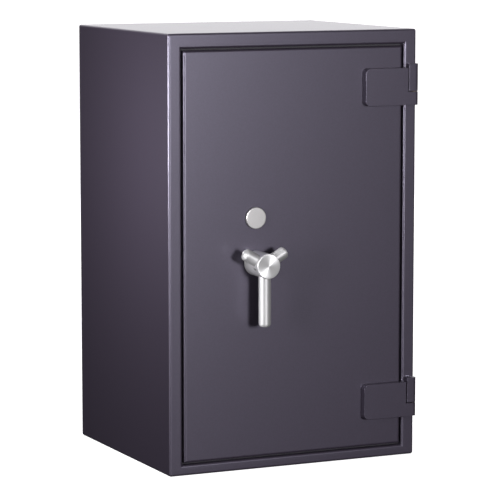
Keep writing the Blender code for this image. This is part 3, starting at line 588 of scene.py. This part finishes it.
def turned(name, profile, base, direction, steps=64):
    """A solid of revolution: radius and height pairs up an axis, with its UV map round it."""
    bm = bmesh.new()
    turn = Vector(direction).to_track_quat("Z", "Y").to_matrix().to_4x4()
    place = Matrix.Translation(Vector(base)) @ turn
    rings = []
    for radius, height in profile:
        angles = [2 * math.pi * i / steps for i in range(steps)]
        count = steps if radius > 1e-7 else 1
        rings.append([bm.verts.new(place @ Vector((radius * math.cos(a), radius * math.sin(a),
                                                   height))) for a in angles[:count]])
    uv = bm.loops.layers.uv.new("turning")
    rise = 0.0
    for level, (low, high) in enumerate(zip(rings, rings[1:])):
        (r1, h1), (r2, h2) = profile[level], profile[level + 1]
        top = rise + math.hypot(r2 - r1, h2 - h1)
        for i in range(steps):
            j = (i + 1) % steps
            corners = [(low[i % len(low)], i, rise), (low[j % len(low)], i + 1, rise),
                       (high[j % len(high)], i + 1, top), (high[i % len(high)], i, top)]
            kept = [c for n, c in enumerate(corners) if c[0] not in [d[0] for d in corners[:n]]]
            if len(kept) < 3:
                continue
            face = bm.faces.new([c[0] for c in kept])
            for loop, (_, turn_at, along) in zip(face.loops, kept):
                loop[uv].uv = (turn_at / steps, along * UV_PER_METRE)
        rise = top
    bmesh.ops.recalc_face_normals(bm, faces=bm.faces)
    return mesh_object(name, bm)


def fillet(radius, height, size, steps=5):
    """Points round the outer edge of a turned end, from its side up and in to its face."""
    angles = [math.radians(90 * step / steps) for step in range(steps + 1)]
    return [(radius - size * (1 - math.cos(a)), height + size * math.sin(a)) for a in angles]


PLUG_STEM, PLUG_STEM_R, PLUG_LEAD, PLUG_ROUND = 0.016, ANCHOR_R - 0.0005, (0.001, 0.002), 0.0018
for side_name, (plug_low, plug_high) in zip(("left", "right"), plug_boxes):
    plug_spot = middle((plug_low, plug_high))
    head_r = (plug_high.x - plug_low.x) / 2
    tall = plug_high.z - plug_low.z
    outline = [(0, 0), (PLUG_STEM_R - PLUG_LEAD[0], 0), (PLUG_STEM_R, PLUG_LEAD[1]),
               (PLUG_STEM_R, PLUG_STEM), (head_r, PLUG_STEM)]
    outline += fillet(head_r, tall - PLUG_ROUND, PLUG_ROUND) + [(0, tall)]
    plug = turned(f"floor_plug_{side_name}", outline, (plug_spot.x, plug_spot.y, plug_low.z),
                  (0, 0, 1))
    fit(smooth(plug), RUBBER, "cabinet", "rubber", f"anchor_plug_{side_name}")


# Hinges. Each has a thick strap welded on the door, whose foot runs on to a round end about the
# pin, and above it a knuckle of the same thickness, flush with it and welded to the stile. A thin
# bearing washer sits between them on the pin.

HINGE_EASE = 0.0005
PIN_CLEARANCE, PIN_EDGE = 0.0003, 0.0008
# How far right of the pin's axis the knuckle's upright bead stands and its top bead ends, how far
# short of the corners both stop, and how deep they sit at the back and proud at the top.
UPRIGHT_BEAD, TOP_BEAD, BEAD_SHORT, BEAD_DEEP, BEAD_PROUD = 0.0035, 0.002, 0.002, 0.0002, 0.0004
SMALL_BEAD_R, SMALL_BEAD_STEP = 0.0015, 0.0013
# Bright drawn steel: a clear metal shine with fine lines along the bar.
MACHINED = add_grain(plain_finish("machined_steel", "#a3a3a5", 1.0, 0.28), 40.0, 0.00001,
                     stretch=(1, 1, 30), gloss=(0.22, 0.34))
# Bearing bronze that has been oiled and has darkened: brown with a low shine.
BRONZE = add_grain(plain_finish("bearing_bronze", "#3f372b", 1.0, 0.4), 300.0, 0.00001,
                   gloss=(0.25, 0.36))


def bar_section(name, points, low, high):
    """A bar standing on end, from its cross-section in X and Y, with eased edges."""
    bm = bmesh.new()
    rings = [[bm.verts.new((px, py, z)) for px, py in points] for z in (low, high)]
    skin(bm, rings)
    return eased(new_piece(name, bm), HINGE_EASE)


def half_round(x, y, radius, steps=16):
    """Points of half a circle in X and Y, from the front, round the right, to the back."""
    angles = [math.radians(270 + 180 * i / steps) for i in range(steps + 1)]
    return [(x + radius * math.cos(a), y + radius * math.sin(a)) for a in angles]


def knuckle(level, x, y, bore):
    """The body's knuckle, bored for the pin, and the two beads that weld it on."""
    low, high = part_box(f"{level}_hinge_knuckle")
    section = [(low.x, high.y), (low.x, low.y)] + half_round(x, y, high.x - x)
    bar = bar_section(f"{level}_body_knuckle", section, low.z, high.z)
    combine(bar, [rod("bore", (x, y, low.z - PAST / 2), (x, y, high.z + PAST / 2), bore)])
    fit(smooth(bar), GRAPHITE, "cabinet", "powder_coat", f"{level}_hinge_knuckle")

    seam = high.y - BEAD_DEEP
    right, left, top = x + UPRIGHT_BEAD, low.x + BEAD_SHORT, high.z + BEAD_PROUD
    runs = [((right, seam, low.z + BEAD_SHORT), (right, seam, high.z - BEAD_SHORT)),
            ((left, seam, top), (x + TOP_BEAD, seam, top))]
    bead = run_nodes(stitch_path(f"{level}_knuckle_welds", runs), STITCH_WELD,
                     bead_step=SMALL_BEAD_STEP, bead_radius=SMALL_BEAD_R, paint=GRAPHITE)
    fit(bead, GRAPHITE, "cabinet", "powder_coat")


def hinge(level):
    """All the pieces of one hinge."""
    knuckle_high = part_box(f"{level}_hinge_knuckle")[1]
    strap_low, strap_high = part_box(f"{level}_hinge_strap")
    pin_low, pin_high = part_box(f"{level}_hinge_pin")
    washer_low, washer_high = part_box(f"{level}_hinge_washer")
    x, y = middle((pin_low, pin_high)).x, middle((pin_low, pin_high)).y
    pin_r, tall = (pin_high.x - pin_low.x) / 2, pin_high.z - pin_low.z
    bore = pin_r + PIN_CLEARANCE
    knuckle(level, x, y, bore)

    seat = washer_low.z - SEAM
    strap = strap_plate(f"{level}_strap", strap_low, strap_high, Vector((x, y, seat)),
                        knuckle_high.x - x)
    combine(strap, [rod("bore", (x, y, strap_low.z - PAST / 2), (x, y, seat + PAST / 2), bore)])
    fit(smooth(strap), GRAPHITE, "door", "powder_coat", f"{level}_hinge_strap")

    outline = [(0, 0), (pin_r - PIN_EDGE, 0), (pin_r, PIN_EDGE), (pin_r, tall - PIN_EDGE),
               (pin_r - PIN_EDGE, tall), (0, tall + SEAM)]
    pin = turned(f"{level}_pin", outline, (x, y, pin_low.z), (0, 0, 1))
    fit(smooth(pin), MACHINED, "cabinet", "steel", f"{level}_hinge_pin")

    r, t = (washer_high.x - washer_low.x) / 2, washer_high.z - washer_low.z
    outline = [(bore, 0), (r, 0), (r, t), (bore, t), (bore, 0)]
    washer = turned(f"{level}_washer", outline, (x, y, washer_low.z), (0, 0, 1))
    fit(smooth(washer), BRONZE, "cabinet", "brass", f"{level}_hinge_washer")


STRAP_CORNER, STRAP_END, CORNER_STEPS = 0.009, 0.015, 8


def strap_plate(name, low, high, turn, radius):
    """The strap's outline given its thickness, with a round end about the pin at its foot."""
    front, back = turn.y - radius, turn.y + radius
    outline = []
    for z, start in ((high.z - STRAP_CORNER, 90), (low.z + STRAP_CORNER, 180)):
        for step in range(CORNER_STEPS + 1):
            angle = math.radians(start + 90 * step / CORNER_STEPS)
            outline.append((low.x + STRAP_CORNER + STRAP_CORNER * math.cos(angle),
                            z + STRAP_CORNER * math.sin(angle)))
    outline += [(turn.x, low.z), (turn.x, turn.z), (turn.x - STRAP_END, turn.z),
                (turn.x - STRAP_END, high.z)]
    bm = bmesh.new()
    rings = [[bm.verts.new((px, depth, pz)) for px, pz in outline] for depth in (front, back)]
    skin(bm, rings)
    foot = outline.index((turn.x, low.z))
    flat_end = [face for face in bm.faces if all(v.co.x > turn.x - 1e-6 for v in face.verts)]
    bmesh.ops.delete(bm, geom=flat_end, context="FACES_ONLY")
    arcs = []
    for corner, z in ((foot, low.z), (foot + 1, turn.z)):
        between = [bm.verts.new((px, py, z))
                   for px, py in half_round(turn.x, turn.y, radius)[1:-1]]
        arcs.append([rings[0][corner], *between, rings[1][corner]])
        bm.faces.new(arcs[-1])
    for i in range(len(arcs[0]) - 1):
        bm.faces.new((arcs[0][i], arcs[0][i + 1], arcs[1][i + 1], arcs[1][i]))
    return eased(new_piece(name, bm), HINGE_EASE)


for level_name in ("upper", "lower"):
    hinge(level_name)


# Door plate. A 12 mm steel plate whose front edges are well rounded before it is coated, drilled
# for the spindle and for the key.

PLATE_ROUND, PLATE_CORNER, BACK_CHAMFER = 0.0046, 0.002, 0.0008
SPINDLE_HOLE, KEY_HOLE = 0.009, 0.007


def door_face():
    """Rows from the square back edge round the front edge to the flat of the face."""
    rows = [(BACK_CHAMFER, plate_high.y, INNER_CORNER),
            (0, plate_high.y - BACK_CHAMFER, PLATE_CORNER)]
    for rise, run in bend(0, 90, 7):
        inset = PLATE_ROUND * (1 - run)
        corner = max(LIP_CORNER, PLATE_CORNER - inset / 3)
        rows.append((inset, plate_low.y + PLATE_ROUND * (1 - rise), corner))
    return lofted("door_face", (plate_low, plate_high), rows)


axis = middle(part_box("spindle"))
cover_low, cover_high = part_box("key_cover")
key_spot = middle((cover_low, cover_high))
drills = [rod("drill", (axis.x, plate_low.y - PAST, spot.z), (axis.x, plate_high.y + PAST, spot.z),
              radius) for spot, radius in ((axis, SPINDLE_HOLE), (key_spot, KEY_HOLE))]
fit(smooth(combine(door_face(), drills)), GRAPHITE, "door", "powder_coat", "door_plate")


# Door pan. The folded frame on the back of the plate, which holds the boltwork. Its left wall has
# a hole for each bolt, and its right wall holds the fixed dogs. It is sprayed like the liner.

pan_low, pan_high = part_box("door_pan")
PAN_T, FLANGE_W, FLANGE_T, PAN_CORNER = 0.003, 0.014, 0.002, 0.0008
HOLE_CLEARANCE, DOG_HOLE = 0.0005, 0.0103


def pan_frame():
    """Walls and back flange as rows, then the holes."""
    rows = [(0, pan_low.y, PAN_T)]
    for rise, run in bend(0, 90, 4):
        inset = PAN_T * (1 - run)
        rows.append((inset, pan_high.y - PAN_T * (1 - rise), max(PAN_CORNER, PAN_T - inset)))
    rows += [(FLANGE_W, pan_high.y, PAN_CORNER), (FLANGE_W, pan_high.y - FLANGE_T, PAN_CORNER),
             (PAN_T, pan_high.y - FLANGE_T, PAN_CORNER), (PAN_T, pan_low.y, PAN_CORNER)]
    pan = lofted("pan_frame", (pan_low, pan_high), rows, ring=True)
    sizes = [(pan_low.x, pair, (pair[1].z - pair[0].z) / 2 + HOLE_CLEARANCE)
             for pair in bolt_boxes]
    sizes += [(pan_high.x, pair, DOG_HOLE) for pair in dog_boxes]
    holes = []
    for wall, pair, radius in sizes:
        y, z = middle(pair).y, middle(pair).z
        holes.append(rod("hole", (wall - PAST, y, z), (wall + PAST, y, z), radius))
    return combine(pan, holes)


fit(smooth(pan_frame()), PALE_PAINT, "door", "primer", "door_pan")


# Inner cover. The sheet over the boltwork, with a raised pressed panel that stiffens it, held to
# the pan's flange by four pan-head screws.

panel_low, panel_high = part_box("inner_cover")
PRESS_IN, PRESS_OUT, PRESS_RISE, PRESS_STEPS = 0.030, 0.038, 0.0016, 6
COVER_CORNER, PANEL_CORNER, COVER_BURR, COVER_EDGE = 0.003, 0.012, 0.0003, 0.0005
SCREW_HOLE = 0.0024
screw_boxes = [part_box(f"cover_screw_{n}") for n in range(1, 5)]


def pressed_cover():
    """A flat border, a soft step and a raised middle; the back is flat."""
    face = panel_high.y
    rows = [(COVER_BURR, panel_low.y, COVER_CORNER), (0, panel_low.y + COVER_BURR, COVER_CORNER),
            (0, face - COVER_EDGE, COVER_CORNER), (COVER_EDGE, face, COVER_CORNER)]
    for step in range(PRESS_STEPS + 1):
        share = step / PRESS_STEPS
        rows.append((PRESS_IN + (PRESS_OUT - PRESS_IN) * share,
                     face + PRESS_RISE * (0.5 - 0.5 * math.cos(math.pi * share)), PANEL_CORNER))
    cover = lofted("boltwork_cover", (panel_low, panel_high), rows, steps=6)
    holes = [rod("hole", (middle(p).x, panel_low.y - PAST, middle(p).z),
                 (middle(p).x, panel_high.y + PAST, middle(p).z), SCREW_HOLE, 24)
             for p in screw_boxes]
    return combine(cover, holes)


fit(smooth(pressed_cover()), PALE_PAINT, "door", "primer", "inner_cover")


# Cover screws. M4 pan heads in zinc-plated steel, rolled and headed cold with a cross recess, which
# hold the inner cover at its four corners.

SCREW_HEAD_T, SCREW_R, SCREW_TIP_R, SCREW_POINT = 0.0024, 0.002, 0.0014, 0.0006
# The head's dome, as shares of its radius and of its height.
SCREW_DOME = ((1.0, 0.35), (0.93, 0.7), (0.72, 0.93))
CROSS_ARM, CROSS_WIDTH, CROSS_DEPTH = 0.55, 0.13, 0.6


def pan_head(name, low, high):
    """One screw along Y, with its head towards +Y and a cross cut into the head."""
    spot = middle((low, high))
    radius, length = (high.x - low.x) / 2, high.y - low.y
    under = length - SCREW_HEAD_T
    outline = [(0, 0), (SCREW_TIP_R, 0), (SCREW_R, SCREW_POINT), (SCREW_R, under),
               (radius, under)]
    outline += [(radius * wide, under + SCREW_HEAD_T * up) for wide, up in SCREW_DOME]
    screw = turned(name, outline + [(0, length)], (spot.x, low.y, spot.z), (0, 1, 0), 32)
    arm, wide = radius * CROSS_ARM, radius * CROSS_WIDTH
    floor, past = high.y - SCREW_HEAD_T * CROSS_DEPTH, high.y + PAST / 10
    crosses = [block("cross", (spot.x - a, floor, spot.z - b), (spot.x + a, past, spot.z + b))
               for a, b in ((arm, wide), (wide, arm))]
    return combine(screw, crosses)


first, last = screw_boxes[0], screw_boxes[-1]
across, upward = middle(last).x - middle(first).x, middle(last).z - middle(first).z
cover_screws = pan_head("cover_screws", *first)
run_nodes(cover_screws, SET_OUT, count=2, second_count=2, step=(across, 0, 0),
          second_step=(0, 0, upward), finish=ZINC)
fit(smooth(cover_screws), ZINC, "door", "zinc", *[f"cover_screw_{n}" for n in range(1, 5)])


# Fixed dogs. Turned steel studs with a collar, riveted through the pan's right wall, which hook
# behind the frame as the door shuts.

DOG_R, DOG_CHAMFER, DOG_ROUND = 0.010, 0.001, 0.002


def dog_row():
    """The lowest dog, turned, and the others set out above it."""
    low, high = dog_boxes[0]
    spot = middle((low, high))
    collar, length = (high.z - low.z) / 2, high.x - low.x
    seat = pan_high.x - PAN_T - SEAM - low.x
    outline = [(0, 0), (collar - DOG_CHAMFER, 0), (collar, DOG_CHAMFER), (collar, seat),
               (DOG_R, seat), (DOG_R, length - DOG_ROUND)]
    outline += fillet(DOG_R, length - DOG_ROUND, DOG_ROUND) + [(0, length)]
    dogs = turned("hinge_side_dogs", outline, (low.x, spot.y, spot.z), (1, 0, 0))
    pitch = middle(dog_boxes[1]).z - spot.z
    return run_nodes(dogs, SET_OUT, count=3, second_count=1, step=(0, 0, pitch),
                     second_step=(0, 0, 0), finish=MACHINED)


fit(smooth(dog_row()), MACHINED, "door", "steel", *[f"dog_bolt_{n}" for n in range(1, 4)])


# Locking bolts. Bright drawn 22 mm steel bars with a chamfered nose, shouldered down to a thin
# tail that runs through the bolt bar and a guide.

BOLT_TAIL_R, TAIL_CHAMFER, SHOULDER_CHAMFER = 0.0057, 0.001, 0.0006
# The nose, as steps in from the bolt's radius and up from its end.
BOLT_NOSE = ((0.0025, 0), (0.0006, 0.0018), (0, 0.003))


def bolt_set():
    """One bolt, turned about X, set out in two pairs."""
    low, high = bolt_boxes[0]
    spot = middle((low, high))
    radius, length = (high.z - low.z) / 2, high.x - low.x
    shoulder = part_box("bolt_bar")[0].x - SEAM - low.x
    outline = [(0, 0)] + [(radius - inward, up) for inward, up in BOLT_NOSE]
    outline += [(radius, shoulder - SHOULDER_CHAMFER), (radius - SHOULDER_CHAMFER, shoulder),
                (BOLT_TAIL_R, shoulder), (BOLT_TAIL_R, length - TAIL_CHAMFER),
                (BOLT_TAIL_R - TAIL_CHAMFER, length), (0, length)]
    bolts = turned("locking_bolts", outline, (low.x, spot.y, spot.z), (1, 0, 0))
    near = middle(bolt_boxes[1]).z - spot.z
    far = middle(bolt_boxes[2]).z - spot.z
    return run_nodes(bolts, SET_OUT, count=2, second_count=2, step=(0, 0, near),
                     second_step=(0, 0, far), finish=MACHINED)


fit(smooth(bolt_set()), MACHINED, "boltwork", "steel", *[f"bolt_{n}" for n in range(1, 5)])


# Boltwork and lock inside the door. Plated bars and guides, a cut rack and pinion, a cast lock
# case and brass levers. They are out of sight, so the plain parts only take their finish.

# Machined brass, not lacquered: yellow, with the cutter's fine lines in its shine.
BRASS = add_grain(plain_finish("machined_brass", "#c29a55", 1.0, 0.28), 200.0, 0.00001,
                  gloss=(0.22, 0.36))
INSIDE = (
    (ZINC, ("bolt_bar", "lower_bolt_guide", "upper_bolt_guide", "lock_case", "lock_cover",
            "lock_screw_1", "lock_screw_2")),
    (MACHINED, ("rack", "pinion", "spindle", "hard_plate")),
    (BRONZE, ("spindle_bush",)),
    (BRASS, ("lock_bolt", "key_barrel", "lock_lever_1", "lock_lever_2", "lock_lever_3")),
)
for inside_finish, inside_nodes in INSIDE:
    for inside_node in inside_nodes:
        finish_node(inside_node, inside_finish)


# Keyhole plate and key cover. A plated disc with the keyhole cut in it is fixed to the door, and
# a thicker stainless disc hangs over it from a hidden stud, so that it swings aside.

# Soft nickel plating: warmer than the stainless round it, with an even shine.
PLATED = plain_finish("satin_nickel_plate", "#b9b7b4", 1.0, 0.32)
# Stainless brushed flat: a pale grey whose fine lines break up what it mirrors.
SATIN = add_grain(plain_finish("satin_stainless", "#acaaab", 0.8, 0.32), 800.0, 0.00001,
                  gloss=(0.32, 0.42))
DISC_EDGE, SLOT_HALF, SLOT_LOW, SLOT_HIGH, ROUND_UP, ROUND_R = (
    0.0005, 0.0028, 0.009, 0.003, 0.002, 0.0042)
STUD_UP, STUD_R, STUD_HOLE_R, STUD_ROOT = 0.014, 0.0014, 0.0018, 0.001
COVER_T, COVER_RIM = 0.0042, 0.0018


def keyhole_disc():
    """The plate under the cover, with the keyhole and the stud's hole cut through it."""
    low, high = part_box("key_escutcheon")
    x, z = middle((low, high)).x, middle((low, high)).z
    radius, t = (high.x - low.x) / 2, high.y - low.y
    outline = [(0, 0), (radius, 0), (radius, t - DISC_EDGE), (radius - DISC_EDGE, t), (0, t)]
    disc = turned("keyhole_plate", outline, (x, high.y, z), (0, -1, 0), 96)
    front, back = low.y - PAST / 2, high.y + PAST / 2
    cuts = [block("slot", (x - SLOT_HALF, front, z - SLOT_LOW),
                  (x + SLOT_HALF, back, z + SLOT_HIGH))]
    cuts += [rod("hole", (x, front, z + up), (x, back, z + up), hole_r, steps)
             for up, hole_r, steps in ((ROUND_UP, ROUND_R, 48), (STUD_UP, STUD_HOLE_R, 24))]
    return combine(disc, cuts)


def cover_disc():
    """The cover, rounded at its front edge, and the stud that it swings on."""
    x, y, z = key_spot.x, cover_low.y + COVER_T, key_spot.z
    radius = (cover_high.x - cover_low.x) / 2
    outline = [(0, 0), (radius - DISC_EDGE, 0), (radius, DISC_EDGE)]
    outline += fillet(radius, COVER_T - COVER_RIM, COVER_RIM, 6) + [(0, COVER_T)]
    disc = turned("key_cover_disc", outline, (x, y, z), (0, -1, 0), 96)
    stud = rod("stud", (x, y - STUD_ROOT, z + STUD_UP), (x, cover_high.y, z + STUD_UP), STUD_R, 24)
    return combine(disc, [stud], "UNION")


fit(smooth(keyhole_disc()), PLATED, "door", "steel", "key_escutcheon")
fit(smooth(cover_disc()), SATIN, "key_cover", "stainless", "key_cover")


# Handle. A stainless hub faced on the lathe carries three round arms, a long one and two stubs,
# each pressed into its own socket. A grub screw locks the hub to the spindle.

ARM_ROOT, ARM_ROUND, HUB_EASE, ARM_EDGE, HUB_EDGE = 0.0173, 0.0064, 0.0009, 0.0005, 0.0006
LONG_REACH, STUB_REACH, SOCKET_CLEARANCE = 0.112, 0.048, 0.0002
ARMS = {"long_arm": 270, "left_arm": 150, "right_arm": 30}
GRUB_ANGLE, GRUB_ROOT, GRUB_R, GRUB_LENGTH, GRUB_EDGE = 195, 0.007, 0.0025, 0.0146, 0.0004
TAPPED_ROOT, TAPPED_R, HEX_ROOT, HEX_END, HEX_R = 0.003, 0.0027, 0.019, 0.03, 0.0015
SPOKE_PAST = 0.04


def faced_stainless(name, spin, colour, gloss):
    """Stainless steel whose shine is drawn out one way, across the lines of its last cut."""
    finish = plain_finish(name, colour, 0.7, gloss)
    way = add_node(finish.node_tree, "ShaderNodeTangent", direction_type="UV_MAP",
                   uv_map="turning")
    set_shader(finish, {"Tangent": way, "Anisotropic": 0.6, "Anisotropic Rotation": spin})
    return finish


# Faced on the lathe: the hub's shine runs as a streak across the face from its middle.
TURNED_FACE = faced_stainless("turned_stainless", 0.0, "#c9c8ca", 0.34)
# Polished on a belt along the bar: the arms are duller, with a broad soft streak down each.
BRUSHED_ARM = faced_stainless("belt_polished_stainless", 0.25, "#b0afb1", 0.6)
hub_low, hub_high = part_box("handle_hub")
arm_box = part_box("handle_long_arm")
arm_r = (arm_box[1].x - arm_box[0].x) / 2
arm_y = middle(arm_box).y
grub_y = middle(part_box("handle_grub_screw")).y


def spoke(angle, radius, y=arm_y):
    """A point at this angle and radius from the handle's axis."""
    turn = math.radians(angle)
    return Vector((axis.x + radius * math.cos(turn), y, axis.z + radius * math.sin(turn)))


def hub():
    """The turned hub with its three sockets and the tapped hole for the grub screw."""
    radius, t = (hub_high.x - hub_low.x) / 2, hub_high.y - hub_low.y
    outline = [(0, 0), (radius - HUB_EDGE, 0), (radius, HUB_EDGE)]
    outline += fillet(radius, t - HUB_EASE, HUB_EASE, 3)
    outline += [(radius * share, t) for share in (0.75, 0.5, 0.25)] + [(0, t)]
    made = turned("handle_hub_turned", outline, (axis.x, hub_high.y, axis.z), (0, -1, 0), 96)
    tools = [rod("socket", spoke(angle, ARM_ROOT - SEAM), spoke(angle, SPOKE_PAST),
                 arm_r + SOCKET_CLEARANCE, 64) for angle in ARMS.values()]
    tools.append(rod("tapped", spoke(GRUB_ANGLE, TAPPED_ROOT, grub_y),
                     spoke(GRUB_ANGLE, SPOKE_PAST, grub_y), TAPPED_R, 24))
    return combine(made, tools)


def arm(name, angle):
    """A round bar with a well rounded end."""
    length = (LONG_REACH if name == "long_arm" else STUB_REACH) - ARM_ROOT
    outline = [(0, 0), (arm_r - ARM_EDGE, 0), (arm_r, ARM_EDGE)]
    outline += [(arm_r, length * share) for share in (0.25, 0.5, 0.75)]
    outline += fillet(arm_r, length - ARM_ROUND, ARM_ROUND, 8) + [(0, length)]
    direction = spoke(angle, 1.0) - spoke(angle, 0.0)
    return turned(f"{name}_bar", outline, spoke(angle, ARM_ROOT), direction)


def grub_screw():
    """A headless screw with a hexagon socket in its outer end."""
    outline = [(0, 0), (GRUB_R, 0), (GRUB_R, GRUB_LENGTH - GRUB_EDGE),
               (GRUB_R - GRUB_EDGE, GRUB_LENGTH), (0, GRUB_LENGTH)]
    screw = turned("grub_screw", outline, spoke(GRUB_ANGLE, GRUB_ROOT, grub_y),
                   spoke(GRUB_ANGLE, 1.0) - spoke(GRUB_ANGLE, 0.0), 24)
    return combine(screw, [rod("hex", spoke(GRUB_ANGLE, HEX_ROOT, grub_y),
                               spoke(GRUB_ANGLE, HEX_END, grub_y), HEX_R, 6)])


fit(smooth(hub()), TURNED_FACE, "handle", "stainless", "handle_hub")
for arm_name, arm_angle in ARMS.items():
    fit(smooth(arm(arm_name, arm_angle)), BRUSHED_ARM, "handle", "stainless", f"handle_{arm_name}")
fit(smooth(grub_screw()), MACHINED, "handle", "steel", "handle_grub_screw")


# Studio. A plain pale floor and a far wall, a square softbox straight in front, a tall strip and a
# small hooded lamp at the left, a wide one behind for the sheen on the top, and a graded room.

def paper(name, glow):
    """White background paper with a glow of its own, which takes only a faint shadow."""
    finish = plain_finish(name, "#f4f4f4", 0.0, 0.9)
    set_shader(finish, {"Emission Color": linear("#ffffff"), "Emission Strength": glow})
    return finish


def backdrop(sheet, finish):
    """Put a sheet of paper in the studio, where neither the metal nor the paint mirrors it."""
    sheet.data.materials.append(finish)
    sheet.visible_glossy = False
    sheet.visible_diffuse = False


FLOOR_DROP = 0.0002


def pale_floor():
    """A wide floor sheet, a hair below the safe."""
    bm = bmesh.new()
    bmesh.ops.create_grid(bm, x_segments=1, y_segments=1, size=400.0)
    floor = new_piece("studio_floor", bm)
    floor.location.z = -FLOOR_DROP
    backdrop(floor, paper("paper_floor", 0.7))


def pale_wall(radius=40.0, height=20.0, sides=48):
    """A round wall far outside the lights, which hides the horizon and lets the light through."""
    bm = bmesh.new()
    turns = [2 * math.pi * n / sides for n in range(sides)]
    rings = [[bm.verts.new((radius * math.cos(t), radius * math.sin(t), z)) for t in turns]
             for z in (-1.0, height)]
    skin(bm, rings, capped=False)
    wall = new_piece("studio_wall", bm)
    wall.visible_shadow = False
    backdrop(wall, paper("paper_wall", 1.0))


def soft_light(name, spot, aim, size, power, spread=180):
    """A rectangular softbox that faces a point."""
    lamp = bpy.data.lights.new(name, "AREA")
    lamp.shape = "RECTANGLE"
    lamp.size, lamp.size_y = size
    lamp.energy = power
    lamp.spread = math.radians(spread)
    made = add_object(name, lamp)
    made.location = spot
    made.rotation_euler = (Vector(aim) - Vector(spot)).to_track_quat("-Z", "Y").to_euler()


def surround():
    """A room's glow: dim in front and below, bright behind, but for a dark patch behind left."""
    world = bpy.data.worlds.new("studio")
    bpy.context.scene.world = world
    world.use_nodes = True
    tree = world.node_tree
    sky = tree.nodes["Background"]
    dark_side = Vector((-0.5, 0.84, -0.2)).normalized()
    place = add_node(tree, "ShaderNodeTexCoord").outputs["Generated"]
    axes = add_node(tree, "ShaderNodeSeparateXYZ", {"Vector": place}).outputs
    toward = add_node(tree, "ShaderNodeVectorMath", {0: place, 1: dark_side},
                      operation="DOT_PRODUCT").outputs["Value"]
    ends = ("From Min", "From Max", "To Min", "To Max")
    shares = ((axes["Y"], (-0.2, 0.7, 0.08, 1.0), "SMOOTHSTEP"),
              (toward, (0.6, 0.92, 1.0, 0.05), "SMOOTHSTEP"),
              (axes["Z"], (-0.22, 0.08, 0.04, 1.0), "LINEAR"),
              (axes["Z"], (0.12, 0.5, 0.0, 0.6), "LINEAR"))
    behind, shade, height, overhead = [
        add_node(tree, "ShaderNodeMapRange", {"Value": value, **dict(zip(ends, span))},
                 interpolation_type=kind) for value, span, kind in shares]
    level = add_node(tree, "ShaderNodeMath", {0: shade, 1: height, 2: overhead},
                     operation="MULTIPLY_ADD")
    total = add_node(tree, "ShaderNodeMath", {0: level, 1: behind}, operation="MULTIPLY")
    set_inputs(tree, sky, {"Color": linear("#fffdff"), "Strength": total})


pale_floor()
pale_wall()
surround()
soft_light("key_softbox", (0.1, -4.7, 0.95), (-0.05, -0.2, 0.45), (0.7, 0.7), 210)
soft_light("left_softbox", (-0.85, -0.14, 0.62), (-0.25, -0.12, 0.60), (0.15, 0.3), 3.7, 112)
soft_light("strip_softbox", (-2.9, -1.45, 0.75), (-0.25, -0.2, 0.6), (0.35, 1.0), 84)
soft_light("back_softbox", (1.9, 4.1, 1.45), (0.0, 0.0, 0.8), (3.0, 1.6), 17)

CAMERA_SPOT, LOOK_DOWN, LOOK_RIGHT, LENS, SENSOR = (-2.098, -4.508, 1.012), 7.29, 25.07, 189.7, 36.0
camera_data = bpy.data.cameras.new("camera")
camera_data.lens, camera_data.sensor_width = LENS, SENSOR
camera = add_object("camera", camera_data)
camera.location = CAMERA_SPOT
camera.rotation_euler = (math.radians(90 - LOOK_DOWN), 0.0, math.radians(-LOOK_RIGHT))
bpy.context.scene.camera = camera
bpy.context.scene.view_settings.view_transform = "Standard"
